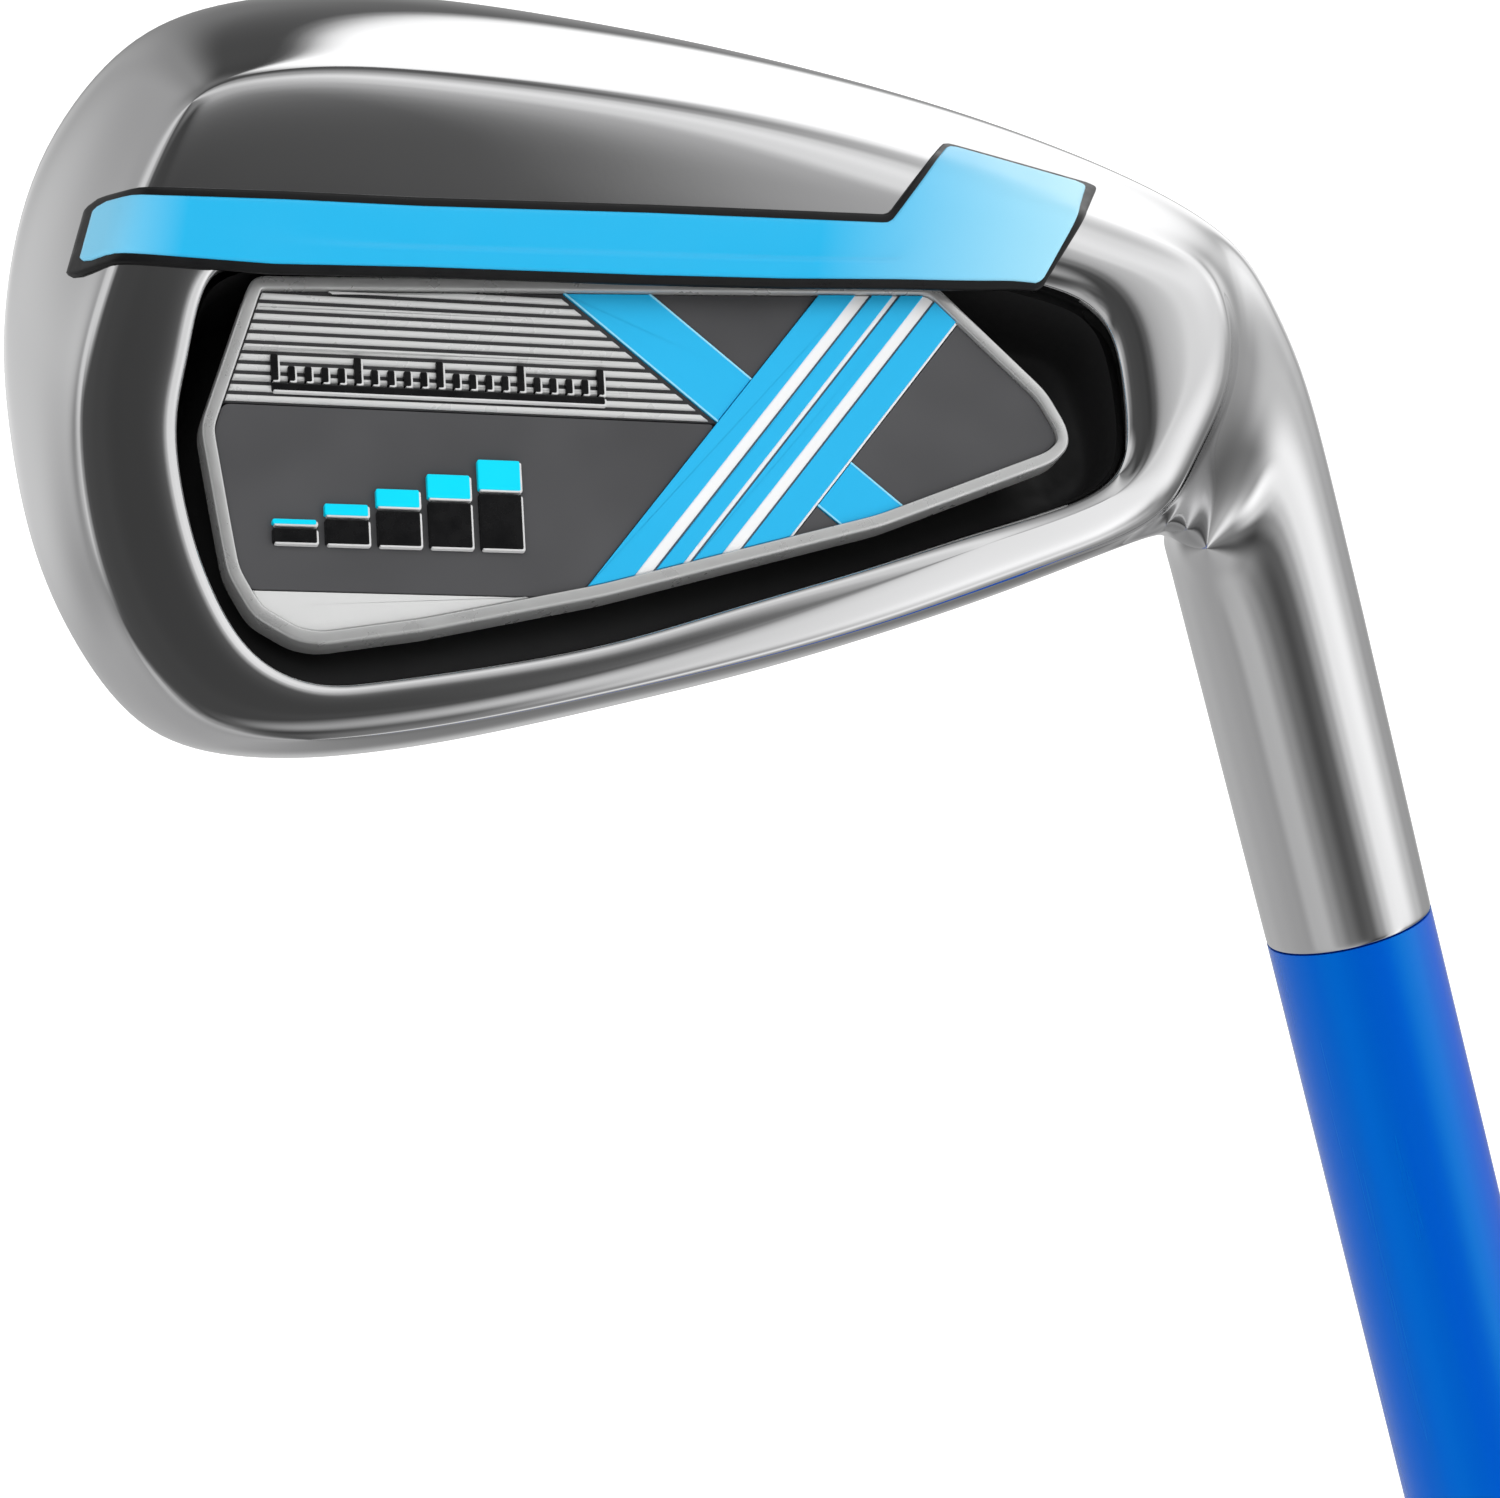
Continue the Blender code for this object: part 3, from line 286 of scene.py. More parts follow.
# grooves with blue paint: form, start and end as shares of the sleeve, lead for a turn, pitch
GRIP_LINES = (
    ("ring", 0.02, 0.02, 0.0, 0.0), ("ring", 0.04, 0.04, 0.0, 0.0), ("chevron", 0.105, 0.105, 9.0, 0.0),
    ("spiral", 0.32, 0.60, 44.0, 5.5), ("spiral", 0.45, 0.60, -44.0, 5.5),
    ("wave", 0.69, 0.69, 5.0, 0.0), ("ring", 0.92, 0.92, 0.0, 0.0),
)
LINE_HALF_WIDTH = 0.32

# material numbers on the casting
POLISHED, MILLED, PAINTED = 0, 1, 2

# ---------------------------------------------------------------- studio
CAMERA_AZIMUTH = -12.0
CAMERA_ELEVATION = 13.0
CAMERA_ROLL = 15.31
CAMERA_DISTANCE = 320.0
CAMERA_LEFT = 42.94  # aim, from the middle of the hosel's mouth
CAMERA_UP = 12.62
CAMERA_LENS = 107.1
FLOOR_RADIUS = 60000.0
FLOOR_GAP = 0.5
FLOOR_GLOW = 0.45
# azimuth, elevation, strength, softness
KEY_SUN = (-100.0, 48.0, 1.3, 40.0)
FILL_SUN = (-20.0, 25.0, 0.3, 60.0)
STEEL_REFLECTS = 0.62
STUDIO_PEAK = 1.8
# elevation, then (azimuth, brightness that the chrome shows, 0 to 255) round that ring
STUDIO_RINGS = (
    (-55.0, ((-180, 150), (-110, 165), (-82, 80), (-65, 110), (-45, 135), (-25, 230), (-8, 170), (15, 135),
             (70, 112), (120, 155))),
    (-33.0, ((-180, 150), (-140, 170), (-105, 135), (-74, 64), (-62, 95), (-51, 210), (-38, 255), (-25, 150),
             (0, 110), (30, 92), (62, 95), (80, 170), (120, 165))),
    (-15.0, ((-180, 150), (-170, 146), (-157, 170), (-141, 173), (-126, 141), (-110, 104), (-93, 74), (-80, 90),
             (-66, 150), (-56, 195), (-44, 230), (-24, 241), (2, 186), (20, 150), (45, 140), (62, 155), (100, 160),
             (122, 165), (148, 158))),
    (4.0, ((-180, 135), (-155, 125), (-135, 72), (-100, 69), (-64, 66), (-56, 76), (-50, 136), (-43, 205),
           (-20, 215), (5, 215), (25, 245), (36, 225), (46, 165), (54, 225), (60, 250), (66, 130), (84, 115),
           (105, 205), (130, 190), (155, 140))),
    (22.0, ((-180, 175), (-165, 195), (-145, 150), (-122, 80), (-100, 70), (-64, 66), (-57, 60), (-51, 78),
            (-46, 158), (-41, 215), (-25, 228), (20, 225), (36, 235), (44, 255), (62, 255), (66, 92), (78, 105),
            (95, 145), (125, 188), (150, 133))),
    (44.0, ((-180, 200), (-150, 110), (-125, 72), (-80, 70), (-62, 64), (-50, 170), (-28, 222), (-6, 205),
            (20, 150), (40, 84), (45, 90), (48, 250), (60, 255), (64, 64), (74, 66), (88, 130), (104, 150),
            (140, 152), (160, 200))),
    (60.0, ((-150, 200), (-110, 150), (-90, 80), (-62, 120), (-40, 200), (0, 150), (40, 72), (80, 110),
            (130, 150))),
)

# ---------------------------------------------------------------- small geometry helpers
def smoothstep(value, low, high):
    share = np.clip((value - low) / (high - low), 0.0, 1.0)
    return share * share * (3.0 - 2.0 * share)


def through(points):
    """Control points whose smooth closed curve passes through the given points."""
    wanted = np.array(points, dtype=float)
    control = wanted.copy()
    for _ in range(12):
        smooth = (np.roll(control, 1, axis=0) + 4.0 * control + np.roll(control, -1, axis=0)) / 6.0
        control += wanted - smooth
    return control


def outward(outline):
    """Unit normals of a closed (p, q) outline, pointing out."""
    along = np.roll(outline, -1, axis=0) - np.roll(outline, 1, axis=0)
    normal = np.stack([along[:, 1], -along[:, 0]], axis=1)
    normal /= np.linalg.norm(normal, axis=1)[:, None]
    middle = outline.mean(axis=0)
    if ((outline - middle) * normal).sum() < 0.0:
        normal = -normal
    return normal


def dense(corners, step=0.2):
    """The closed outline with points no further apart than the step."""
    points = []
    for i, here in enumerate(corners):
        there = corners[(i + 1) % len(corners)]
        count = max(1, math.ceil(math.dist(here, there) / step))
        for k in range(count):
            points.append(tuple(here[j] + (there[j] - here[j]) * k / count for j in range(2)))
    return points


def rounded(corners, radius, step=0.2):
    """The closed outline with its corners eased by a moving average about as wide as the radius."""
    points = np.array(dense(corners, step))
    reach = max(1, round(radius / step))
    weights = [math.cos(0.5 * math.pi * k / (reach + 1)) ** 2 for k in range(-reach, reach + 1)]
    eased = sum(w * np.roll(points, k, axis=0) for k, w in zip(range(-reach, reach + 1), weights))
    return [tuple(point) for point in eased / sum(weights)]


def inset(outline, distance):
    """The closed outline moved in by the distance, with mitred corners."""
    points = np.array(outline, dtype=float)
    following, before = np.roll(points, -1, axis=0), np.roll(points, 1, axis=0)
    area = (points[:, 0] * following[:, 1] - following[:, 0] * points[:, 1]).sum()
    turn = 1.0 if area > 0.0 else -1.0

    def side_normal(edge):
        edge = edge / np.maximum(np.linalg.norm(edge, axis=1), 1e-9)[:, None]
        return turn * np.stack([-edge[:, 1], edge[:, 0]], axis=1)

    first, second = side_normal(points - before), side_normal(following - points)
    middle = first + second
    scale = 2.0 / np.maximum((middle * middle).sum(axis=1), 0.7)
    return [tuple(point) for point in points + distance * middle * scale[:, None]]


def cut(outline, normal, limit, keep_above):
    """The part of an outline on one side of the line normal . point = limit."""
    sign = 1.0 if keep_above else -1.0

    def height(point):
        return sign * (normal[0] * point[0] + normal[1] * point[1] - limit)

    kept = []
    for i, here in enumerate(outline):
        there = outline[(i + 1) % len(outline)]
        a, b = height(here), height(there)
        if a >= 0.0:
            kept.append(here)
        if (a >= 0.0) != (b >= 0.0):
            share = a / (a - b)
            kept.append(tuple(here[k] + share * (there[k] - here[k]) for k in range(2)))
    return [point for i, point in enumerate(kept) if math.dist(point, kept[i - 1]) > 0.02]


def trimmed(outline, *sides, margin=0.0):
    """The outline cut by (normal, limit, keep_above) lines, clear of them by the margin."""
    for normal, limit, keep_above in sides:
        outline = cut(outline, normal, limit + margin if keep_above else limit - margin, keep_above)
    return outline


class Shape:
    """Points in mm and faces with a material number, gathered before they become one mesh."""

    def __init__(self):
        self.points = []
        self.faces = []
        self.finishes = []

    def add_face(self, corners, finish=0):
        corners = list(dict.fromkeys(corners))
        if len(corners) > 2:
            self.faces.append(corners)
            self.finishes.append(finish)

    def add_ring(self, ring):
        start = len(self.points)
        self.points.extend(Vector(point) for point in ring)
        return list(range(start, start + len(ring)))

    def join(self, low, high, finish=0):
        for i in range(len(low)):
            j = (i + 1) % len(low)
            self.add_face((low[i], low[j], high[j], high[i]), finish)

    def plate(self, outline, low, high, edge, finish=0, steps=3):
        """A plate on the head between two depths, with its top edge rounded by a quarter circle."""
        rings = [[head_to_club(p, q, low(p, q)) for p, q in outline]]
        for k in range(steps + 1):
            turn = 0.5 * math.pi * k / steps
            moved = inset(outline, edge * (1.0 - math.cos(turn)))
            drop = edge * (1.0 - math.sin(turn))
            rings.append([head_to_club(p, q, high(p, q) - drop) for p, q in moved])
        rows = [self.add_ring(ring) for ring in rings]
        for below, above in zip(rows, rows[1:]):
            self.join(below, above, finish)
        self.add_face(rows[0], finish)
        self.add_face(rows[-1], finish)

    def turned(self, profile, sides, finish=0, moved=None):
        """A solid of revolution round Z from (radius, z) points; a radius of 0 closes the end."""
        rows = []
        for radius, z in profile:
            if radius == 0.0:
                rows.append([len(self.points)] * sides)
                self.points.append(Vector((0.0, 0.0, z)))
                continue
            turns = [2.0 * math.pi * i / sides for i in range(sides)]
            ring = [(radius * math.cos(turn), radius * math.sin(turn), z) for turn in turns]
            rows.append(self.add_ring(ring))
        if profile[0][0] > 0.0:
            rows.append(rows[0])
        for low, high in zip(rows, rows[1:]):
            self.join(low, high, finish)

    def mesh(self, name, materials, sharp_angle):
        mesh = bpy.data.meshes.new(name)
        mesh.from_pydata([point / MM for point in self.points], [], self.faces)
        mesh.polygons.foreach_set("material_index", self.finishes)
        for material in materials:
            mesh.materials.append(material)
        shape = bmesh.new()
        shape.from_mesh(mesh)
        bmesh.ops.recalc_face_normals(shape, faces=shape.faces)
        shape.to_mesh(mesh)
        shape.free()
        if sharp_angle:
            mesh.shade_smooth()
            mesh.set_sharp_from_angle(angle=math.radians(sharp_angle))
        return mesh


def add_object(name, mesh):
    thing = bpy.data.objects.new(name, mesh)
    bpy.context.scene.collection.objects.link(thing)
    return thing


def add_piece(name, shape, materials, body, replaced, sharp_angle=0.0):
    """A finished piece that rides on a body and stands for the CAD nodes it replaces."""
    piece = add_object(name, shape.mesh(name, materials, sharp_angle))
    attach(piece, body)
    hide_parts(*replaced)
    return piece


# ---------------------------------------------------------------- materials
class Finish:
    """A Principled material and the procedural detail that feeds it, in object coordinates (mm)."""

    def __init__(self, name, colour, roughness, metallic=0.0, **sockets):
        self.material = bpy.data.materials.new(name)
        self.material.use_nodes = True
        self.tree = self.material.node_tree
        self.shader = self.tree.nodes["Principled BSDF"]
        self.colour = (*colour, 1.0)
        self.shader.inputs["Base Color"].default_value = self.colour
        self.shader.inputs["Roughness"].default_value = roughness
        self.shader.inputs["Metallic"].default_value = metallic
        for socket, value in sockets.items():
            self.shader.inputs[socket.replace("_", " ")].default_value = value
        place = self.tree.nodes.new("ShaderNodeTexCoord")
        scale = self.tree.nodes.new("ShaderNodeVectorMath")
        scale.operation = "SCALE"
        scale.inputs["Scale"].default_value = MM
        self.link(place.outputs["Object"], scale.inputs[0])
        self.place = scale.outputs[0]

    def link(self, output, socket):
        self.tree.links.new(output, socket)

    def math(self, operation, *values):
        node = self.tree.nodes.new("ShaderNodeMath")
        node.operation = operation
        for socket, value in zip(node.inputs, values):
            if isinstance(value, (int, float)):
                socket.default_value = value
            else:
                self.link(value, socket)
        return node.outputs[0]

    def stretched(self, direction, squeeze):
        """Object coordinates squeezed along a direction, which draws a pattern out that way."""
        along = self.tree.nodes.new("ShaderNodeVectorMath")
        along.operation = "DOT_PRODUCT"
        along.inputs[1].default_value = direction
        self.link(self.place, along.inputs[0])
        pull = self.tree.nodes.new("ShaderNodeVectorMath")
        pull.operation = "SCALE"
        pull.inputs[0].default_value = direction
        self.link(self.math("MULTIPLY", along.outputs["Value"], squeeze - 1.0), pull.inputs["Scale"])
        total = self.tree.nodes.new("ShaderNodeVectorMath")
        self.link(self.place, total.inputs[0])
        self.link(pull.outputs[0], total.inputs[1])
        return total.outputs[0]

    def noise(self, period, detail=3.0, place=None):
        node = self.tree.nodes.new("ShaderNodeTexNoise")
        node.inputs["Scale"].default_value = 1.0 / period
        node.inputs["Detail"].default_value = detail
        self.link(place or self.place, node.inputs["Vector"])
        return node.outputs["Fac"]

    def ranged(self, value, low, high, start=0.3, end=0.7):
        node = self.tree.nodes.new("ShaderNodeMapRange")
        for socket, number in zip(node.inputs[1:5], (start, end, low, high)):
            socket.default_value = number
        self.link(value, node.inputs[0])
        return node.outputs[0]

    def vary_roughness(self, period, low, high, place=None):
        self.link(self.ranged(self.noise(period, place=place), low, high), self.shader.inputs["Roughness"])
        return self

    def mixed(self, factor, first, second):
        node = self.tree.nodes.new("ShaderNodeMix")
        node.data_type = "RGBA"
        self.link(factor, node.inputs["Factor"])
        for socket, value in ((node.inputs[6], first), (node.inputs[7], second)):
            if isinstance(value, tuple):
                socket.default_value = value
            else:
                self.link(value, socket)
        return node.outputs[2]

    def vary_colour(self, period, other, place=None):
        """The colour drifts towards another one in soft patches."""
        factor = self.ranged(self.noise(period, 2.0, place), 0.0, 1.0)
        self.link(self.mixed(factor, self.colour, (*other, 1.0)), self.shader.inputs["Base Color"])
        return self

    def bump(self, height, depth, strength=1.0):
        node = self.tree.nodes.new("ShaderNodeBump")
        node.inputs["Strength"].default_value = strength
        node.inputs["Distance"].default_value = depth / MM
        self.link(height, node.inputs["Height"])
        self.link(node.outputs[0], self.shader.inputs["Normal"])
        return self


def steel_finish():
    """Polished chrome over steel: nearly clear, with faint handling haze."""
    finish = Finish("steel_chrome", (0.62, 0.62, 0.625), 0.05, 1.0)
    finish.vary_roughness(9.0, 0.035, 0.065)
    return finish.bump(finish.noise(0.35, 2.0), 0.0006, 0.3).material


def milled_finish():
    """The striking face: satin steel with fine lines along the score lines."""
    finish = Finish("steel_milled_face", (0.56, 0.555, 0.55), 0.34, 1.0)
    lines = finish.stretched(tuple(SCORE_DIRECTION), 0.02)
    finish.vary_roughness(0.4, 0.28, 0.42, lines)
    return finish.bump(finish.noise(0.22, 2.0, lines), 0.012, 0.5).material


# dark paint, also used as painted shade in the score lines
def black_paint_and_shade_finish(name, colour, roughness):
    finish = Finish(name, colour, roughness, Specular_IOR_Level=0.3)
    finish.vary_roughness(1.2, roughness - 0.08, roughness + 0.08)
    return finish.bump(finish.noise(0.3, 2.0), 0.01, 0.3).material


def enamel_finish(name, colour, other, roughness=0.34):
    """Filled paint: even, with a slight drift of colour and gloss."""
    finish = Finish(name, colour, roughness, Specular_IOR_Level=0.2)
    finish.vary_roughness(4.0, roughness - 0.05, roughness + 0.07)
    return finish.vary_colour(12.0, other).material


def band_finish():
    """The band's sky blue, with painted highlights: it pales towards its heel end and is paler at its toe end."""
    finish = Finish("band_sky_blue", (0.022, 0.455, 0.80), 0.26, Specular_IOR_Level=0.25)
    finish.vary_roughness(3.0, 0.18, 0.27)
    along = finish.tree.nodes.new("ShaderNodeVectorMath")
    along.operation = "DOT_PRODUCT"
    along.inputs[1].default_value = SCORE_DIRECTION
    finish.link(finish.place, along.inputs[0])
    origin = HEAD_ORIGIN.dot(SCORE_DIRECTION)
    # paler towards the heel end: painted highlight
    heel_painted_highlight = finish.ranged(along.outputs["Value"], 0.0, 1.0, origin - 31.0, origin - 12.0)
    colour = finish.mixed(heel_painted_highlight, finish.colour, (0.40, 0.76, 0.91, 1.0))
    # paler at the toe end, where the band crosses the ridge: painted highlight
    toe_painted_highlight = finish.ranged(along.outputs["Value"], 0.5, 0.0, origin - 76.0, origin - 71.5)
    colour = finish.mixed(toe_painted_highlight, colour, (0.40, 0.76, 0.91, 1.0))
    finish.link(colour, finish.shader.inputs["Base Color"])
    return finish.material


def silver_finish(name, grey, roughness, metallic):
    finish = Finish(name, (grey, grey * 1.005, grey), roughness, metallic)
    finish.vary_roughness(1.5, roughness - 0.06, roughness + 0.08)
    return finish.material


def shaft_finish():
    """Deep glossy blue lacquer over a fibre rod, faintly streaked along its length."""
    finish = Finish("shaft_blue_lacquer", (0.0, 0.068, 0.62), 0.22, IOR=1.5, Specular_IOR_Level=1.0,
                    Specular_Tint=(0.0, 1.0, 0.35, 1.0))
    streaks = finish.stretched((0.0, 0.0, 1.0), 0.03)
    finish.vary_roughness(1.0, 0.18, 0.28, streaks)
    finish.vary_colour(2.0, (0.0, 0.062, 0.59), streaks)
    return finish.bump(finish.noise(1.2, 1.0, streaks), 0.003, 0.3).material


def plain_finish(name, colour, other, roughness, grain):
    """A matt hidden piece: epoxy, tape or foam, with its own grain."""
    finish = Finish(name, colour, roughness)
    finish.vary_colour(4.0 * grain, other)
    finish.vary_roughness(grain, roughness - 0.1, roughness + 0.1)
    return finish.bump(finish.noise(grain, 4.0), 0.08, 0.6).material


# ---------------------------------------------------------------- the head casting
def head_rings():
    """Rings round the head from the middle of the face to the middle of the cavity floor.

    Each is an array of (p, q, r) rows, one for each station. The second value gives the number of the
    ring at the leading edge, where the wall starts, and the third that of the first painted ring.
    """
    face, ridge, mouth = (through([row[k] for row in STATIONS]) for k in range(3))
    face_out, ridge_out, mouth_out = outward(face), outward(ridge), outward(mouth)
    count = len(face)
    heel = np.array([HEEL_FIRST < i < HEEL_LAST for i in range(count)])
    heel_end = np.array([i in (HEEL_FIRST, HEEL_LAST) for i in range(count)])

    def ring(outline, depth):
        depth = np.broadcast_to(np.asarray(depth, dtype=float), (count,))
        return np.column_stack([outline, depth])

    def back(outline, drop=0.0):
        return ring(outline, back_plane(outline[:, 0], outline[:, 1]) - drop)

    middle = face.mean(axis=0)
    rings = [
        ring(middle + 0.5 * (face - middle), 0.0),
        ring(face - FACE_FLAT_INSET * face_out, 0.0),
        ring(face - EDGE_RADIUS * face_out, 0.0),
    ]
    edge_depth = np.where(heel, 0.0, np.where(heel_end, 0.5 * EDGE_RADIUS, EDGE_RADIUS))
    edge = len(rings)
    rings.append(ring(face, edge_depth))

    roll = TOE_ROLL + (HEEL_ROLL - TOE_ROLL) * smoothstep(ridge[:, 0], *ROLL_GROWS)
    shoulder = back_plane(ridge[:, 0], ridge[:, 1]) - 0.75 * roll
    soleward = np.clip(face_out[:, 1], 0.0, 1.0)
    belly = TOP_BELLY + (SOLE_BELLY - TOP_BELLY) * soleward
    for share in (0.28, 0.6, 0.88):
        outline = face + share * (ridge - face) + (4.0 * share * (1.0 - share) * belly)[:, None] * face_out
        rings.append(ring(outline, edge_depth + share * (shoulder - edge_depth)))
    rings.append(back(ridge, 0.35 * roll))
    inner = ridge - roll[:, None] * ridge_out
    rings.append(back(inner))
    soft = smoothstep(mouth[:, 0], *LIP_SOFTENS)
    width = LIP_WIDTH + (HEEL_LIP_WIDTH - LIP_WIDTH) * soft
    lip = mouth + width[:, None] * mouth_out
    rings.append(back(0.5 * (inner + lip)))
    rings.append(back(lip))
    rings.append(back(mouth + (0.3 + 0.25 * soft)[:, None] * mouth_out, 0.1 + 0.3 * soft))
    painted = len(rings)
    rings.append(back(mouth, 0.8 + 0.5 * soft))
    wall_depth = back_plane(mouth[:, 0], mouth[:, 1]) - FACE_WALL
    foot = mouth - (CAVITY_DRAFT * wall_depth)[:, None] * mouth_out
    rings.append(ring(foot, FACE_WALL + 0.7))
    floor = foot - 0.8 * mouth_out
    rings.append(ring(floor, FACE_WALL))
    centre = floor.mean(axis=0)
    rings.append(ring(centre + 0.6 * (floor - centre), FACE_WALL))
    return rings, edge, painted


def hermite(start, start_pull, end, end_pull, share):
    a = 2.0 * share**3 - 3.0 * share**2 + 1.0
    b = share**3 - 2.0 * share**2 + share
    c = 3.0 * share**2 - 2.0 * share**3
    d = share**3 - share**2
    return a * start + b * start_pull + c * end + d * end_pull


def hosel_rings(opening, sides):
    """Rings from the opening in the heel down the hosel and up its bore."""
    fit = 6.0 / (4.0 + 2.0 * math.cos(2.0 * math.pi / sides))  # a smooth ring shrinks by this much

    def circle(radius, depth_of):
        ring = []
        for i in range(sides):
            turn = 2.0 * math.pi * i / sides
            x, y = math.cos(turn), math.sin(turn)
            ring.append(Vector((radius * fit * x, radius * fit * y, MOUTH_Z + depth_of(x))))
        return ring

    root_height = HOSEL_LENGTH - HOSEL_ROOT
    root = circle(SHAFT_RADIUS + HOSEL_SWELL, lambda x: root_height + HOSEL_ROOT_SLANT * x)
    pulls = {
        "face": SCORE_DIRECTION * 7.0,
        "sole": (SCORE_DIRECTION * 0.92 - SOLE_DIRECTION * 0.39) * 9.0,
        "top": (SCORE_DIRECTION * 0.75 + SOLE_DIRECTION * 0.35 - BACK_NORMAL * 0.5) * 9.0,
        "back": (SCORE_DIRECTION * 0.55 - BACK_NORMAL * 0.85) * 8.0,
    }
    end_pull = Vector((0.0, 0.0, -12.0))
    rings = []
    for share in (0.3, 0.65):
        rings.append([
            hermite(start, pulls[side], root[i], end_pull, share) for i, (start, side) in enumerate(opening)
        ])
    rings.append(root)
    rings.append(circle(SHAFT_RADIUS + 0.7 * HOSEL_SWELL, lambda x: 0.6 * (root_height - HOSEL_ROOT_SLANT)))
    for radius, depth in (
        (SHAFT_RADIUS, 0.8), (SHAFT_RADIUS, 0.15), (SHAFT_RADIUS - 0.15, 0.0),
        (BORE_RADIUS + 0.15, 0.0), (BORE_RADIUS, 0.15), (BORE_RADIUS, 0.8),
        (BORE_RADIUS, BORE_DEPTH - 0.5), (BORE_RADIUS, BORE_DEPTH), (0.5 * BORE_RADIUS, BORE_DEPTH),
    ):
        rings.append(circle(radius, lambda x, depth=depth: depth))
    return rings


def head_cage():
    """The casting's control mesh: the blade's rings with the hosel drawn out of the heel."""
    rings, edge, painted = head_rings()
    cage = Shape()
    rows = [cage.add_ring([head_to_club(*row) for row in ring]) for ring in rings]
    count = len(rows[0])
    cage.add_face(rows[0], MILLED)
    cage.add_face(rows[-1], PAINTED)
    for k, (low, high) in enumerate(zip(rows, rows[1:])):
        finish = MILLED if k < edge - 1 else PAINTED if k >= painted else POLISHED
        for i in range(count):
            if k in (edge, edge + 1) and HEEL_FIRST <= i < HEEL_LAST:
                continue
            j = (i + 1) % count
            cage.add_face((low[i], low[j], high[j], high[i]), finish)

    # once round the opening: sole side, face side, topline side, back side
    low, mid, high = rows[edge], rows[edge + 1], rows[edge + 2]
    loop = [(mid[HEEL_FIRST], "sole"), (low[HEEL_FIRST], "sole")]
    loop += [(low[i], "face") for i in range(HEEL_FIRST + 1, HEEL_LAST)]
    loop += [(low[HEEL_LAST], "top"), (mid[HEEL_LAST], "top"), (high[HEEL_LAST], "top")]
    loop += [(high[i], "back") for i in range(HEEL_LAST - 1, HEEL_FIRST, -1)]
    loop += [(high[HEEL_FIRST], "sole")]
    opening = [(cage.points[index], side) for index, side in loop]
    previous = [index for index, _ in loop]
    for ring in hosel_rings(opening, len(loop)):
        current = cage.add_ring(ring)
        cage.join(previous, current, POLISHED)
        previous = current
    cage.add_face(previous, POLISHED)
    return cage


def score_line_cutter():
    face = np.array([row[0] for row in STATIONS])
    area = [tuple(point) for point in face - SCORE_EDGE_INSET * outward(face)]
    shape = Shape()
    for i in range(SCORE_LINES):
        q = SCORE_FIRST_Q - i * SCORE_PITCH
        outline = trimmed(
            area, ((0.0, 1.0), q - 0.5 * SCORE_WIDTH, True), ((0.0, 1.0), q + 0.5 * SCORE_WIDTH, False),
            ((1.0, 0.0), SCORE_ENDS[0], True), ((1.0, 0.0), SCORE_ENDS[1], False),
        )
        shape.plate(outline, lambda p, q: -1.0, lambda p, q: SCORE_DEPTH, 0.15)
    return add_object("score_line_cutter", shape.mesh("score_line_cutter", [SCORE_SHADE_FINISH], 0.0))


def evaluated_mesh(thing):
    depsgraph = bpy.context.evaluated_depsgraph_get()
    return bpy.data.meshes.new_from_object(thing.evaluated_get(depsgraph), depsgraph=depsgraph)


def relax_hosel_root(mesh):
    """Evens out the skin where the hosel grows out of the heel, and leaves the face and the blade alone.

    Each round pulls the points towards their neighbours and then pushes them back a little further, which
    takes creases away and keeps the size.
    """
    spots = np.empty(len(mesh.vertices) * 3)
    mesh.vertices.foreach_get("co", spots)
    spots = spots.reshape(-1, 3) * MM
    edges = np.empty(len(mesh.edges) * 2, dtype=int)
    mesh.edges.foreach_get("vertices", edges)
    edges = edges.reshape(-1, 2)
    offset = spots - np.array(HEAD_ORIGIN)
    share = smoothstep(np.abs(offset @ np.array(BACK_NORMAL)), *RELAX_DEPTHS)
    share *= smoothstep(offset @ np.array(SCORE_DIRECTION), *RELAX_FROM)
    share *= smoothstep(spots[:, 2], *RELAX_HEIGHTS)
    notch = np.array(head_to_club(*NOTCH_PLACE))
    outside = smoothstep(np.linalg.norm(spots - notch, axis=1), *NOTCH_REACH)
    share = np.maximum(share, 1.0 - outside)
    edges = edges[(share[edges] > 0.0).any(axis=1)]
    ends = np.concatenate([edges[:, 0], edges[:, 1]])
    others = np.concatenate([edges[:, 1], edges[:, 0]])
    links = np.maximum(np.bincount(ends, minlength=len(spots)), 1)[:, None]
    for _ in range(RELAX_ROUNDS):
        for step in (RELAX_PULL * share, RELAX_PUSH * share * outside):
            total = np.stack([np.bincount(ends, spots[others, k], len(spots)) for k in range(3)], axis=1)
            spots += step[:, None] * (total / links - spots)
    mesh.vertices.foreach_set("co", (spots / MM).ravel())
    mesh.update()


def make_head():
    """The fine casting, and its surface before the score lines are cut, for laying the band."""
    materials = [STEEL, MILLED_FACE, CAVITY_PAINT]
    head = add_object("iron_head", head_cage().mesh("iron_head", materials, 60.0))
    smooth = head.modifiers.new("smooth", "SUBSURF")
    smooth.levels = smooth.render_levels = HEAD_SMOOTHING
    bpy.context.view_layer.update()
    whole = evaluated_mesh(head)
    relax_hosel_root(whole)
    head.modifiers.clear()
    head.data = whole
    shape = bmesh.new()
    shape.from_mesh(whole)
    surface = BVHTree.FromBMesh(shape)
    shape.free()

    cutter = score_line_cutter()
    groove = head.modifiers.new("score_lines", "BOOLEAN")
    groove.operation = "DIFFERENCE"
    groove.solver = "EXACT"
    # the grooves take the cutter's near-black: painted shade in the score lines
    groove.material_mode = "TRANSFER"
    groove.object = cutter
    bpy.context.view_layer.update()
    cut_mesh = evaluated_mesh(head)
    head.modifiers.clear()
    head.data = cut_mesh
    cut_mesh.shade_smooth()
    cut_mesh.set_sharp_from_angle(angle=math.radians(32.0))
    bpy.data.objects.remove(cutter, do_unlink=True)
    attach(head, "head_end")
    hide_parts("head_casting")
    return surface


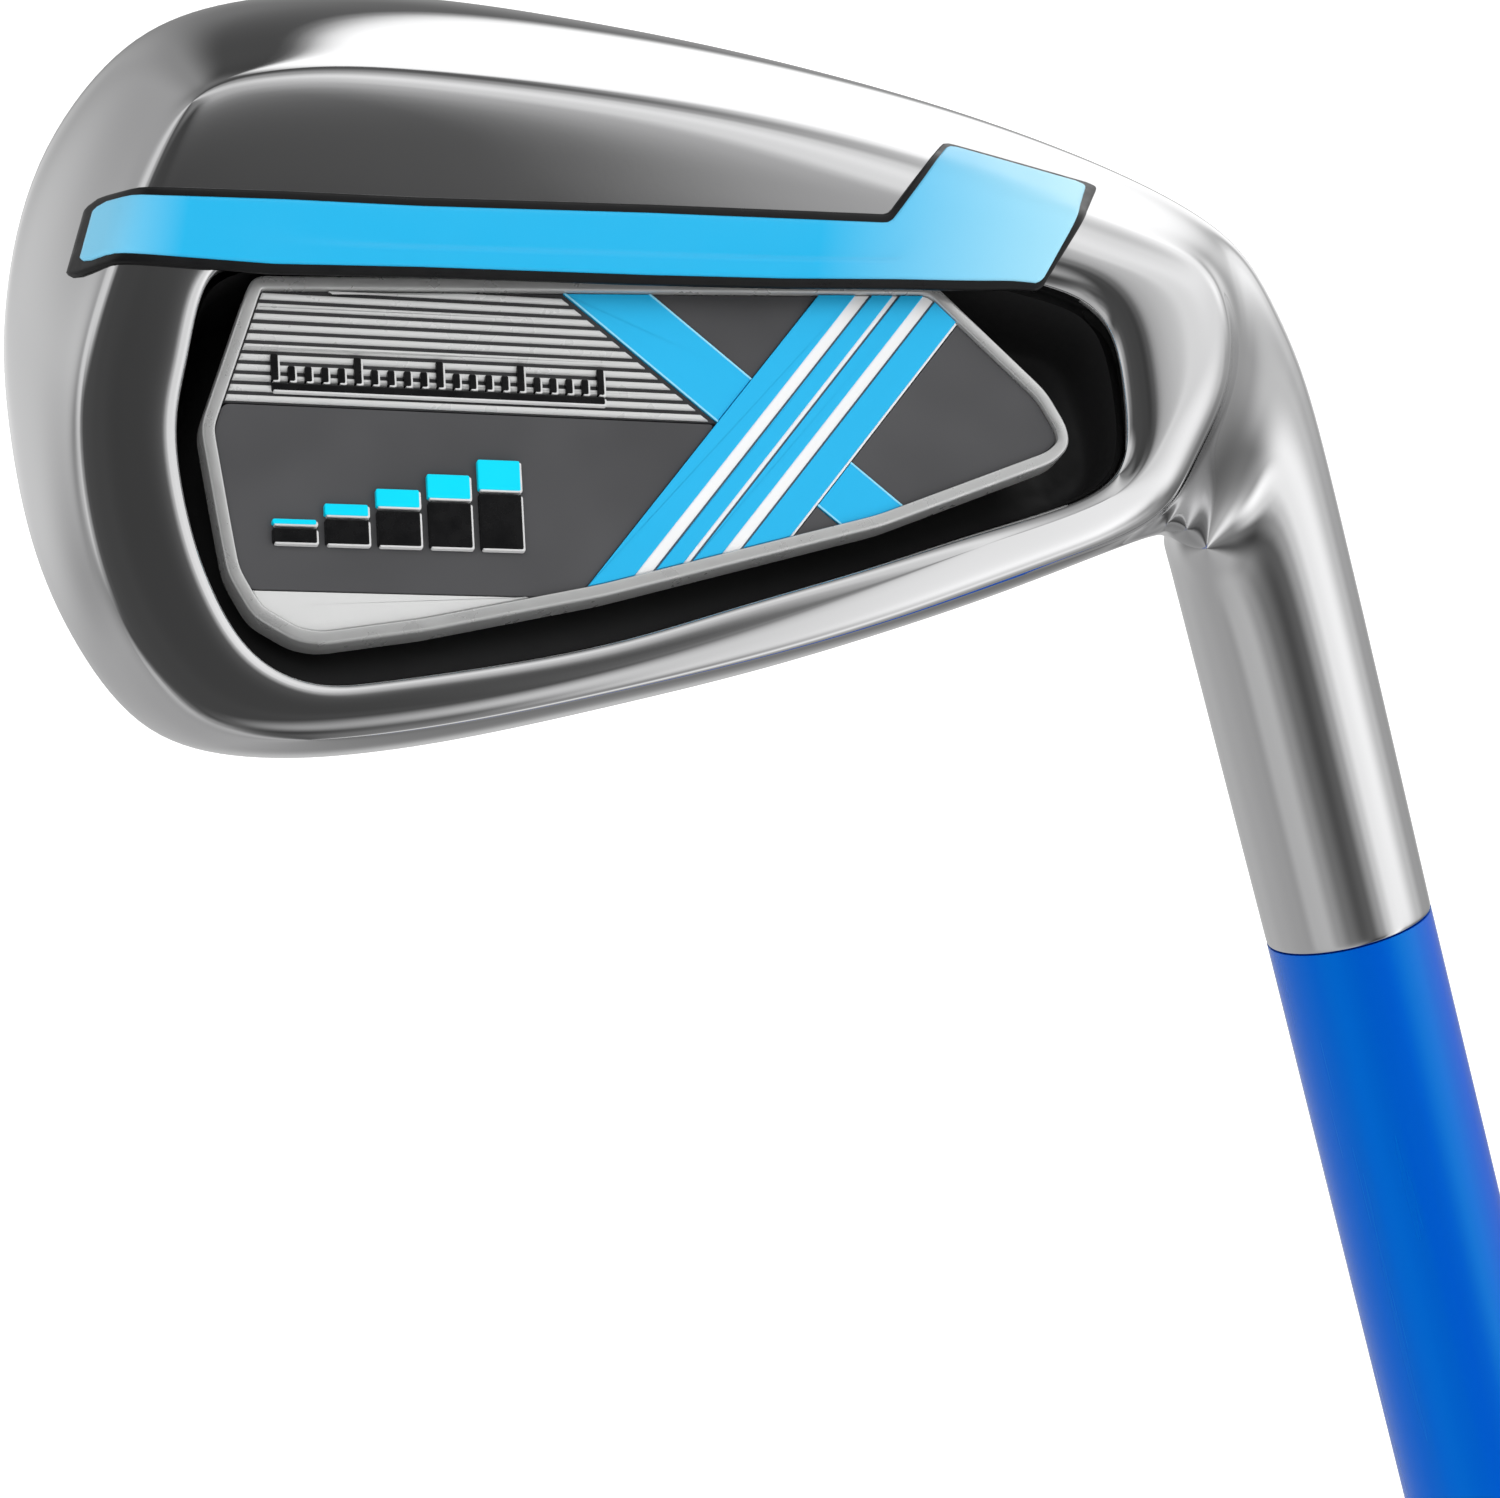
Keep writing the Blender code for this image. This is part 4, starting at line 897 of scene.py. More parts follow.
# ---------------------------------------------------------------- the band over the back
def spaced(length, first_steps, step):
    """Distances from 0 to the length: the first steps, even ones between, and the first steps mirrored."""
    start = [distance for distance in first_steps if distance < 0.5 * length]
    inner = length - 2.0 * start[-1]
    count = max(1, math.ceil(inner / step))
    middle = [start[-1] + inner * k / count for k in range(1, count)]
    return start + middle + [length - distance for distance in reversed(start)]


def across(reach):
    """Distances from one edge of a strip to the other, closer together near both edges."""
    close = [step * min(1.0, 0.3 * reach / STRIP_STEPS[-1]) for step in STRIP_STEPS]
    inner = np.linspace(close[-1], reach - close[-1], STRIP_COLUMNS)[1:-1]
    return [*close, *inner, *(reach - step for step in reversed(close))]


def on_back(surface, p, q, cavity_share):
    """A place on the casting's back and its outward normal; towards the cavity, the back plane carries on."""
    hit, normal, _, _ = surface.ray_cast(head_to_club(p, q, 4.0 * BACK_AT_ORIGIN) / MM, -BACK_NORMAL)
    spot = hit * MM
    flat = head_to_club(p, q, back_plane(p, q))
    bridged = float(smoothstep(cavity_share, *BRIDGE_SHARES) * smoothstep(p, *BRIDGE_FROM))
    if (flat - spot).dot(BACK_NORMAL) <= 0.0:
        return spot, normal
    slope = -BACK_SLOPE_P * SCORE_DIRECTION - BACK_SLOPE_Q * SOLE_DIRECTION
    return spot.lerp(flat, bridged), normal.lerp((BACK_NORMAL + slope).normalized(), bridged).normalized()


def make_strip(name, pairs, surface, margin, corner, lift, thickness, material, node):
    """A thin strip laid on the casting, with rounded corners and edges.

    The pairs of edge points are followed lengthwise; the margin brings the strip's border in all round.
    """
    firsts = np.array([pair[0] for pair in pairs])
    seconds = np.array([pair[1] for pair in pairs])
    middles = 0.5 * (firsts + seconds)
    runs = np.concatenate([[0.0], np.cumsum(np.linalg.norm(np.diff(middles, axis=0), axis=1))])
    length = runs[-1]
    places = np.array(spaced(length - 2.0 * margin, STRIP_STEPS, STRIP_PITCH)) + margin

    ease = np.minimum(1.0, np.minimum(places, length - places) / BAND_BEND_EASE)

    def followed(values):
        """The edge at each place, with its bends eased by an average along the strip."""
        offsets = np.linspace(-BAND_BEND_EASE, BAND_BEND_EASE, 7)
        samples = places[:, None] + ease[:, None] * offsets
        return np.stack([np.interp(samples, runs, values[:, k]).mean(axis=1) for k in range(2)], axis=1)

    first, second = followed(firsts), followed(seconds)
    widths = np.linalg.norm(second - first, axis=1)
    low, high = [], []
    for a, b, width, place in zip(first, second, widths, places):
        end = min(place, length - place) - margin
        inside = corner - math.sqrt(max(0.0, corner**2 - max(0.0, corner - end) ** 2))
        edge = margin + inside
        for step in across(width - 2.0 * edge):
            distance = edge + step
            p, q = a + (b - a) * distance / width
            spot, normal = on_back(surface, p, q, distance / width)
            border = min(end, distance - edge, width - edge - distance)
            fall = max(0.0, 1.0 - border / STRIP_ROUND)
            height = lift + thickness * math.sqrt(max(0.02, 1.0 - fall * fall))
            low.append(spot + normal * (lift - STRIP_SINK))
            high.append(spot + normal * height)
    shape = Shape()
    below, above = shape.add_ring(low), shape.add_ring(high)
    width, rows = len(below) // len(places), len(places)
    for i in range(rows - 1):
        for j in range(width - 1):
            a, b = i * width + j, (i + 1) * width + j
            shape.add_face((below[a], below[a + 1], below[b + 1], below[b]))
            shape.add_face((above[a], above[b], above[b + 1], above[a + 1]))
    border = [i * width for i in range(rows)]
    border += [(rows - 1) * width + j for j in range(1, width)]
    border += [i * width + width - 1 for i in reversed(range(rows - 1))]
    border += list(reversed(range(1, width - 1)))
    for a, b in zip(border, border[1:] + border[:1]):
        shape.add_face((below[a], below[b], above[b], above[a]))
    add_piece(name, shape, [material], "head_end", [node], sharp_angle=50.0)



def make_band(surface):
    make_strip("band_outline", BAND_PAIRS, surface, 0.0, BAND_CORNER, BORDER_LIFT, BORDER_THICKNESS,
               BAND_BLACK, "band_border")
    make_strip("band_blue", BAND_PAIRS, surface, BAND_BORDER_WIDTH, BAND_CORNER, BORDER_LIFT + BORDER_THICKNESS,
               BAND_THICKNESS, BAND_BLUE, "back_band")


# ---------------------------------------------------------------- the badge and its inlays
def below_badge(drop):
    """A depth that lies this much below the badge's rim."""
    return lambda p, q: badge_top(p, q) - drop


def make_badge_plate():
    """A cast plate with a raised, softly rounded rim round a shallow pocket."""
    outer = rounded(BADGE_OUTLINE, BADGE_CORNER)
    inner = inset(outer, BADGE_RIM)
    profile = [(outer, 0.0, BADGE_THICKNESS)]
    for k in range(5):
        turn = 0.5 * math.pi * k / 4
        profile.append((outer, RIM_ROUND * (1.0 - math.cos(turn)), RIM_ROUND * (1.0 - math.sin(turn))))
    for k in range(4, -1, -1):
        turn = 0.5 * math.pi * k / 4
        profile.append((inner, -RIM_INNER_ROUND * (1.0 - math.cos(turn)), RIM_INNER_ROUND * (1.0 - math.sin(turn))))
    profile.append((inner, 0.0, POCKET_DEPTH))
    shape = Shape()
    rows = [
        shape.add_ring([head_to_club(p, q, badge_top(p, q) - drop) for p, q in inset(outline, moved)])
        for outline, moved, drop in profile
    ]
    for low, high in zip(rows, rows[1:]):
        shape.join(low, high)
    shape.add_face(rows[0])
    shape.add_face(rows[-1])
    add_piece("badge_frame", shape, [RIM_SILVER], "head_end", ["badge_plate"], sharp_angle=30.0)


def pocket_area(*sides, margin=0.0, gap=0.05):
    """The pocket's rounded outline, a gap inside its wall, trimmed by lines."""
    return trimmed(inset(rounded(BADGE_OUTLINE, BADGE_CORNER), BADGE_RIM + gap), *sides, margin=margin)


def make_fields():
    toe_side = (MAIN_NORMAL, MAIN_EDGES[0], False)
    heel_side = (MAIN_NORMAL, MAIN_EDGES[1], True)
    under_cross = (CROSS_NORMAL, CROSS_EDGES[0], False)
    over_cross = (CROSS_NORMAL, CROSS_EDGES[1], True)
    in_cross = ((CROSS_NORMAL, CROSS_EDGES[0], True), (CROSS_NORMAL, CROSS_EDGES[1], False))
    below_grille = (LEVEL_NORMAL, GRILLE_EDGE, False)
    above_corner = (LEVEL_NORMAL, CORNER_EDGE, True)
    floor = below_badge(POCKET_DEPTH - 0.02)
    field_top, stripe_top = below_badge(FIELD_DROP), below_badge(STRIPE_DROP)
    fields = (
        ("field_toe", FIELD_GREY, "dark_field", "badge_field_toe", (toe_side, under_cross, below_grille, above_corner)),
        ("field_sole", FIELD_GREY, "dark_field", "badge_field_sole", (toe_side, over_cross)),
        ("field_heel", FIELD_GREY, "dark_field", "badge_field_heel", (heel_side, over_cross)),
        ("field_top", FIELD_GREY, "dark_field", "badge_field_top", (heel_side, under_cross)),
    )
    for name, finish, slot, node, sides in fields:
        outline = pocket_area(*sides, margin=SEAM)
        if name == "field_toe":
            outline = rounded(outline, 0.6)
        shape = Shape()
        shape.plate(outline, floor, field_top, 0.05)
        add_piece(name, shape, [finish], "head_end", [node])

    corner = Shape()
    area = pocket_area(toe_side, (LEVEL_NORMAL, CORNER_EDGE, False), margin=SEAM, gap=CORNER_PLATE_GAP)
    corner.plate(area, floor, field_top, 0.08)
    add_piece("corner_plate", corner, [PALE_SILVER], "head_end", ["badge_corner_plate"])

    for end, side in (("toe", toe_side), ("heel", heel_side)):
        stripe = Shape()
        stripe.plate(pocket_area(side, *in_cross, margin=SEAM), floor, stripe_top, 0.06)
        # a pale line along each edge of the cross stripe is a painted highlight
        for edge, limit in enumerate(CROSS_EDGES):
            start = limit - STRIPE_HIGHLIGHT_LINE if edge else limit
            line = pocket_area(
                side, (CROSS_NORMAL, start, True), (CROSS_NORMAL, start + STRIPE_HIGHLIGHT_LINE, False), margin=0.01
            )
            stripe.plate(line, stripe_top, below_badge(STRIPE_DROP - 0.03), 0.015, finish=1)
        add_piece(f"under_stripe_{end}", stripe, [STRIPE_BLUE, HIGHLIGHT_BLUE], "head_end",
                  [f"cross_stripe_{end}"])


def make_main_stripe():
    """The broad stripe on top: blue bars over a white base that shows as three lines between them and as a painted
    highlight along the heel edge, with painted shadow along each white line's heel side.
    """
    low, high = MAIN_EDGES
    across_stripe = ((MAIN_NORMAL, low, True), (MAIN_NORMAL, high, False))
    base = Shape()
    base.plate(pocket_area(*across_stripe, margin=0.02), below_badge(POCKET_DEPTH - 0.02),
               below_badge(WHITE_DROP), 0.05)
    # a thin dark line along each white line's heel side is painted shadow
    for _, line_end in MAIN_LINES:
        shade = pocket_area((MAIN_NORMAL, line_end - SHADE_LINE, True), (MAIN_NORMAL, line_end, False))
        base.plate(shade, below_badge(WHITE_DROP + 0.05), below_badge(WHITE_DROP - 0.01), 0.005, finish=1)
    add_piece("main_stripe_white", base, [ENAMEL_AND_HIGHLIGHT_WHITE, PAINTED_SHADOW_GREY], "head_end", ["main_stripe_base"])
    edges = [low, *(edge for line in MAIN_LINES for edge in line), high - MAIN_HIGHLIGHT_LINE]
    for i in range(len(edges) // 2):
        bar = Shape()
        area = pocket_area((MAIN_NORMAL, edges[2 * i], True), (MAIN_NORMAL, edges[2 * i + 1], False))
        bar.plate(area, below_badge(WHITE_DROP + 0.05), below_badge(BAR_DROP), 0.06)
        add_piece(f"main_stripe_blue_{i + 1}", bar, [STRIPE_BLUE], "head_end",
                  [f"main_stripe_bar_{i + 1}"])


def make_grille():
    """Bright rounded ribs along the level lines over a dark plate."""
    toe_side = (MAIN_NORMAL, MAIN_EDGES[0], False)
    under_cross = (CROSS_NORMAL, CROSS_EDGES[0], False)
    grille = Shape()
    area = pocket_area(toe_side, under_cross, (LEVEL_NORMAL, GRILLE_EDGE, True), margin=SEAM)
    grille.plate(area, below_badge(POCKET_DEPTH - 0.02), below_badge(FIELD_DROP), 0.05)
    heights = [LEVEL_NORMAL[0] * p + LEVEL_NORMAL[1] * q for p, q in area]
    short_of_cross = (CROSS_NORMAL, CROSS_EDGES[0] - RIB_END_GAP, False)
    count = int((max(heights) - GRILLE_EDGE) / RIB_PITCH)
    for i in range(count):
        height = GRILLE_EDGE + 0.5 * RIB_PITCH + i * RIB_PITCH
        rib = pocket_area(
            toe_side, short_of_cross, (LEVEL_NORMAL, height - 0.5 * RIB_WIDTH, True),
            (LEVEL_NORMAL, height + 0.5 * RIB_WIDTH, False), gap=0.1,
        )
        if len(rib) > 3:
            grille.plate(rib, below_badge(FIELD_DROP + 0.02), below_badge(RIB_DROP), 0.46 * RIB_WIDTH, finish=1, steps=5)
    add_piece("ribbed_grille", grille, [RIB_GROOVE, RIB_SILVER], "head_end", ["badge_grille"])


def level_place(start, distance, height):
    """A (p, q) point at a distance along the level lines and a height across them."""
    along = (LEVEL_NORMAL[1], -LEVEL_NORMAL[0])
    return tuple(start[k] + along[k] * distance + LEVEL_NORMAL[k] * height for k in range(2))


def raised(shape, outline, drop, corner):
    """A black raised ornament on a slightly wider light edge that shows towards the sole and heel; the light edge is a
    painted highlight.
    """
    outline = rounded(outline, corner, 0.08)
    p_shift, q_shift = ORNAMENT_HIGHLIGHT_SHIFT
    edge = [(p + p_shift, q + q_shift) for p, q in outline]
    shape.plate(edge, below_badge(drop + 0.35), below_badge(drop + 0.04), 0.05, finish=1)
    shape.plate(outline, below_badge(drop + 0.35), below_badge(drop), 0.07)


def make_tick_row():
    """A measuring scale over the ribs: thin ticks, each fifth one long, on a base line."""
    shape = Shape()
    count = 2 * TICKS - 1
    pitch = (TICK_ROW_LENGTH - TICK_WIDTH) / (count - 1)
    blocks = [(0.0, TICK_ROW_LENGTH, 0.0, TICK_WIDTH)]
    for i in range(count):
        top = TICK_ROW_HEIGHT if i % 5 == 0 else TICK_ROW_HEIGHT * SHORT_TICK
        blocks.append((i * pitch, i * pitch + TICK_WIDTH, TICK_WIDTH + TICK_GAP, top))
    for left, right, low, high in blocks:
        corners = ((left, low), (right, low), (right, high), (left, high))
        raised(shape, [level_place(TICK_ROW_START, *corner) for corner in corners], ORNAMENT_DROP, 0.12)
    add_piece("scale_ticks", shape, [GLOSS_BLACK, HIGHLIGHT_WHITE], "head_end", ["grille_tick_row"])


def make_step_motif():
    """Bars that rise in steps, black with a cyan head."""
    shape = Shape()
    width = STEP_BAR_LENGTH / len(STEP_BAR_HEIGHTS)
    for i, height in enumerate(STEP_BAR_HEIGHTS):
        left, right = i * width, (i + 1) * width - STEP_GAP
        split = height * STEP_BLACK_SHARE
        for low, high, finish in ((0.0, split, 0), (split + STEP_GAP * 0.4, height, 2)):
            corners = ((left, low), (right, low), (right, high), (left, high))
            outline = [level_place(STEP_BAR_START, *corner) for corner in corners]
            before = len(shape.finishes)
            raised(shape, outline, ORNAMENT_DROP, 0.2)
            for k in range(before, len(shape.finishes)):
                shape.finishes[k] = finish if shape.finishes[k] == 0 else 1
    add_piece("step_motif", shape, [GLOSS_BLACK, HIGHLIGHT_WHITE, MOTIF_CYAN], "head_end",
              ["badge_step_motif"])


# ---------------------------------------------------------------- shaft and grip
def round_end(centre, rim, spare=0.0):
    """(radius, z) points of a rounded end about a joint, from its rim on the rod's side to the rod's axis."""
    ball = math.hypot(SHAFT_RADIUS, rim)
    points = [(SHAFT_RADIUS, centre + rim)]
    for i in range(1, JOINT_RINGS):
        turn = math.atan2(SHAFT_RADIUS, rim) * (1.0 - (i / JOINT_RINGS) ** 2)
        half_way_out = 0.5 * (SHAFT_RADIUS / math.sin(turn) - ball)
        radius = ball + min(spare, half_way_out)
        points.append((radius * math.sin(turn), centre + radius * math.cos(turn)))
    return points + [(0.0, centre + ball + spare)]


def make_shaft():
    """The rod as straight lengths, each with a rounded end that sits in a hollow of the next at their joint."""
    bodies = [JOINTS[0]["parent"]] + [joint["child"] for joint in JOINTS]
    start = GRIP_LENGTH - SHAFT_IN_GRIP
    bottom = [(0.0, start), (SHAFT_RADIUS, start)]
    for i, body in enumerate(bodies):
        low = bottom[-1][1]
        following = []
        if i < len(JOINTS):
            reach = math.radians(max(map(abs, JOINTS[i]["range_deg"])) + JOINT_SPARE)
            rim = SHAFT_RADIUS * math.tan(reach)
            top = round_end(JOINT_HEIGHTS[i], rim)
            following = round_end(JOINT_HEIGHTS[i], rim + JOINT_PLAY, JOINT_HOLLOW)[::-1]
        else:
            tenon = BORE_RADIUS - TENON_CLEARANCE
            top = [
                (SHAFT_RADIUS, MOUTH_Z), (tenon, MOUTH_Z), (tenon, TENON_TOP - TENON_EDGE),
                (tenon - TENON_EDGE, TENON_TOP), (0.0, TENON_TOP),
            ]
        high = top[0][1] - SHAFT_EDGE_RING
        rings = max(2, math.ceil((high - low) / SHAFT_RING_PITCH))
        side = [(SHAFT_RADIUS, low + (high - low) * k / rings) for k in range(1, rings + 1)]
        shape = Shape()
        shape.turned(bottom + side + top, SHAFT_SIDES)
        name = f"shaft_tube_{i + 1:02d}"
        add_piece(name, shape, [SHAFT_BLUE], body, [f"shaft_length_{i + 1:02d}"], 40.0)
        bottom = following


def sleeve_radius(z):
    """Outer radius of the sleeve: its taper, softened by an average, and its rounded mouth."""
    share = (z - SLEEVE_LOW) / (GRIP_LENGTH - SLEEVE_LOW)
    shares, walls = zip(*GRIP_WALLS)
    spread = np.linspace(-0.02, 0.02, 9)
    radius = SLEEVE_BORE + np.interp(share + spread * min(1.0, share / 0.02), shares, walls).mean()
    to_mouth = GRIP_LENGTH - z
    if to_mouth < GRIP_MOUTH_ROUND:
        radius -= GRIP_MOUTH_ROUND - math.sqrt(max(0.0, GRIP_MOUTH_ROUND**2 - (GRIP_MOUTH_ROUND - to_mouth) ** 2))
    return radius


def line_distance(kind, z, turn):
    """Distance in mm, along the grip, from a point to the nearest line of one of the sleeve's patterns."""
    form, start, end, lead, pitch = kind
    length = GRIP_LENGTH - SLEEVE_LOW
    low, high = SLEEVE_LOW + start * length, SLEEVE_LOW + end * length
    if form == "ring":
        return abs(z - low)
    if form == "chevron":
        return abs(z - low - lead * abs(turn) / math.pi)
    if form == "wave":
        return abs(z - low - lead * math.cos(turn))
    offset = (z + lead * turn / (2.0 * math.pi)) % pitch
    return max(min(offset, pitch - offset), low - z, z - high)


def make_grip_sleeve():
    """The rubber sleeve with its grooves pressed in, and a bore that clears the tape."""
    rows, sides = math.ceil((GRIP_LENGTH - SLEEVE_LOW) / SLEEVE_RING_PITCH), SLEEVE_SIDES
    shape = Shape()
    rings = []
    for k in range(rows + 1):
        z = SLEEVE_LOW + (GRIP_LENGTH - SLEEVE_LOW) * k / rows
        radius = sleeve_radius(z)
        ring = []
        for i in range(sides):
            turn = 2.0 * math.pi * i / sides - math.pi
            near = min(line_distance(kind, z, turn) for kind in GRIP_LINES)
            groove = GROOVE_DEPTH * max(0.0, 1.0 - near / GROOVE_WIDTH) ** 0.5
            ring.append(((radius - groove) * math.cos(turn), (radius - groove) * math.sin(turn), z))
        rings.append(shape.add_ring(ring))
    for radius, z in ((SLEEVE_BORE, GRIP_LENGTH), (SLEEVE_BORE, SLEEVE_LOW)):
        turns = [2.0 * math.pi * i / sides - math.pi for i in range(sides)]
        rings.append(shape.add_ring([(radius * math.cos(turn), radius * math.sin(turn), z) for turn in turns]))
    for low, high in zip(rings, rings[1:] + rings[:1]):
        shape.join(low, high)
    add_piece("grip_rubber", shape, [GRIP_RUBBER], "grip_end", ["grip_sleeve"], sharp_angle=45.0)


def make_end_cap():
    """The butt cap: a rounded disc with a shallow dish and a vent hole."""
    rim = BUTT_RADIUS
    profile = [(VENT_RADIUS, 0.35), (VENT_RADIUS + 0.3, 0.05)]
    dish = rim - CAP_ROUND - 2.0
    profile += [(dish * share + (VENT_RADIUS + 0.3) * (1.0 - share), 0.05) for share in (0.5, 0.95)]
    profile += [(dish + 0.3, 0.25), (dish + 0.7, 0.25), (dish + 1.0, 0.0), (rim - CAP_ROUND, 0.0)]
    for k in range(1, 9):
        turn = 0.5 * math.pi * k / 8
        profile.append((rim - CAP_ROUND * (1.0 - math.sin(turn)), CAP_ROUND * (1.0 - math.cos(turn))))
    profile += [(rim, CAP_TOP), (VENT_RADIUS, CAP_TOP)]
    shape = Shape()
    shape.turned(profile, SLEEVE_SIDES)
    add_piece("butt_cap", shape, [CAP_RUBBER], "grip_end", ["grip_end_cap"], sharp_angle=40.0)


def finish_hidden_nodes():
    """The tape, the epoxy and the foam pad keep their CAD shapes and get their own materials."""
    for node, material, slot in (
        ("grip_tape", GRIP_TAPE, "tape"), ("hosel_bond", EPOXY, "epoxy"), ("badge_adhesive_pad", FOAM, "foam_pad"),
    ):
        thing = frame["nodes"][node]
        thing.data.materials.clear()
        thing.data.materials.append(material)


# ---------------------------------------------------------------- studio
def studio_world():
    """Lamps and dark flags all round the club, as rings of brightness that blend with elevation."""
    world = bpy.data.worlds.new("studio")
    bpy.context.scene.world = world
    world.use_nodes = True
    tree = world.node_tree
    place = tree.nodes.new("ShaderNodeTexCoord")
    split = tree.nodes.new("ShaderNodeSeparateXYZ")
    tree.links.new(place.outputs["Generated"], split.inputs[0])

    def math_node(operation, *values):
        node = tree.nodes.new("ShaderNodeMath")
        node.operation = operation
        for socket, value in zip(node.inputs, values):
            if isinstance(value, (int, float)):
                socket.default_value = value
            else:
                tree.links.new(value, socket)
        return node.outputs[0]

    azimuth = math_node("ARCTAN2", split.outputs[1], split.outputs[0])
    around = math_node("MULTIPLY_ADD", azimuth, 0.5 / math.pi, 0.5)
    elevation = math_node("MULTIPLY", math_node("ARCSINE", split.outputs[2]), 180.0 / math.pi)
    below = None
    for height, stops in STUDIO_RINGS:
        ramp = tree.nodes.new("ShaderNodeValToRGB")
        ramp.color_ramp.interpolation = "EASE"
        elements = ramp.color_ramp.elements
        for turn, grey in stops:
            element = elements[0] if turn == stops[0][0] else elements.new(turn / 360.0 + 0.5)
            element.position = turn / 360.0 + 0.5
            level = (grey / 255.0) ** 2.2 / STEEL_REFLECTS / STUDIO_PEAK
            element.color = (level, level, level, 1.0)
        elements.remove(elements[-1])
        last = elements.new(1.0)
        last.color = elements[0].color
        tree.links.new(around, ramp.inputs[0])
        if below is None:
            mixed = ramp.outputs[0]
        else:
            share = tree.nodes.new("ShaderNodeMapRange")
            share.interpolation_type = "SMOOTHSTEP"
            share.inputs["From Min"].default_value = below
            share.inputs["From Max"].default_value = height
            tree.links.new(elevation, share.inputs[0])
            mix = tree.nodes.new("ShaderNodeMix")
            mix.data_type = "RGBA"
            tree.links.new(share.outputs[0], mix.inputs["Factor"])
            tree.links.new(mixed, mix.inputs[6])
            tree.links.new(ramp.outputs[0], mix.inputs[7])
            mixed = mix.outputs[2]
        below = height
    studio = tree.nodes["Background"]
    tree.links.new(mixed, studio.inputs[0])
    studio.inputs[1].default_value = STUDIO_PEAK
    backdrop = tree.nodes.new("ShaderNodeBackground")
    path = tree.nodes.new("ShaderNodeLightPath")
    choice = tree.nodes.new("ShaderNodeMixShader")
    tree.links.new(path.outputs["Is Camera Ray"], choice.inputs[0])
    tree.links.new(studio.outputs[0], choice.inputs[1])
    tree.links.new(backdrop.outputs[0], choice.inputs[2])
    backdrop.inputs[0].default_value = (1.0, 1.0, 1.0, 1.0)
    tree.links.new(choice.outputs[0], tree.nodes["World Output"].inputs["Surface"])


def add_sun(name, azimuth, elevation, strength, softness):
    """A soft lamp that lights the paint and the floor but does not show in the chrome."""
    lamp = bpy.data.lights.new(name, "SUN")
    lamp.energy = strength
    lamp.angle = math.radians(softness)
    sun = add_object(name, lamp)
    turn, height = math.radians(azimuth), math.radians(elevation)
    towards = Vector((math.cos(turn) * math.cos(height), math.sin(turn) * math.cos(height), math.sin(height)))
    sun.rotation_euler = towards.to_track_quat("Z", "Y").to_euler()
    sun.visible_glossy = False


def add_floor():
    finish = Finish("floor_white", (0.93, 0.93, 0.93), 0.6, Specular_IOR_Level=0.1,
                    Emission_Color=(1.0, 1.0, 1.0, 1.0), Emission_Strength=FLOOR_GLOW)
    finish.vary_roughness(200.0, 0.55, 0.65)
    shape = Shape()
    ring = [(FLOOR_RADIUS * math.cos(turn), FLOOR_RADIUS * math.sin(turn), -FLOOR_GAP)
            for turn in (2.0 * math.pi * i / 96 for i in range(96))]
    shape.add_face(shape.add_ring(ring))
    floor = add_object("floor", shape.mesh("floor", [finish.material], 0.0))
    floor.visible_glossy = False


def add_camera():
    """The camera looks at the cavity back from slightly above, rolled so that the toe hangs level."""
    turn, height, roll = (math.radians(angle) for angle in (CAMERA_AZIMUTH, CAMERA_ELEVATION, CAMERA_ROLL))
    back = Vector((math.sin(turn) * math.cos(height), -math.cos(turn) * math.cos(height), math.sin(height)))
    level = Vector((math.cos(turn), math.sin(turn), 0.0))
    upright = back.cross(level)
    right = math.cos(roll) * level - math.sin(roll) * upright
    up = math.sin(roll) * level + math.cos(roll) * upright
    aim = Vector((0.0, 0.0, MOUTH_Z)) - CAMERA_LEFT * right + CAMERA_UP * up
    place = (aim + CAMERA_DISTANCE * back) / MM
    data = bpy.data.cameras.new("camera")
    data.sensor_width = 36.0
    data.lens = CAMERA_LENS
    data.clip_start = 0.01
    data.clip_end = 200.0
    camera = add_object("camera", data)
    camera.matrix_world = Matrix((
        (right.x, up.x, back.x, place.x), (right.y, up.y, back.y, place.y),
        (right.z, up.z, back.z, place.z), (0.0, 0.0, 0.0, 1.0),
    ))
    bpy.context.scene.camera = camera



# ---------------------------------------------------------------- finishes
def grip_finish():
    """Matt black rubber, finely pebbled, with blue paint in its grooves."""
    finish = Finish("grip_rubber_black", (0.022, 0.022, 0.023), 0.7, Specular_IOR_Level=0.35)
    finish.vary_roughness(1.0, 0.6, 0.8)
    split = finish.tree.nodes.new("ShaderNodeSeparateXYZ")
    finish.link(finish.place, split.inputs[0])
    x, y, z = split.outputs
    turn = finish.math("ARCTAN2", y, x)
    length = GRIP_LENGTH - SLEEVE_LOW
    painted = None
    for form, start, end, lead, pitch in GRIP_LINES:
        low, high = SLEEVE_LOW + start * length, SLEEVE_LOW + end * length
        if form == "spiral":
            along = finish.math("MULTIPLY_ADD", turn, lead / (2.0 * math.pi), z)
            offset = finish.math("PINGPONG", along, 0.5 * pitch)
            below = finish.math("SUBTRACT", low, z)
            above = finish.math("SUBTRACT", z, high)
            near = finish.math("MAXIMUM", offset, finish.math("MAXIMUM", below, above))
        else:
            rise = {
                "ring": lambda: low,
                "chevron": lambda: finish.math("MULTIPLY_ADD", finish.math("ABSOLUTE", turn), lead / math.pi, low),
                "wave": lambda: finish.math("MULTIPLY_ADD", finish.math("COSINE", turn), lead, low),
            }[form]()
            near = finish.math("ABSOLUTE", finish.math("SUBTRACT", z, rise))
        line = finish.math("LESS_THAN", near, LINE_HALF_WIDTH)
        painted = line if painted is None else finish.math("MAXIMUM", painted, line)
    colour = finish.mixed(painted, finish.colour, (0.01, 0.10, 0.55, 1.0))
    finish.link(colour, finish.shader.inputs["Base Color"])
    return finish.bump(finish.noise(0.7, 4.0), 0.06, 0.6).material


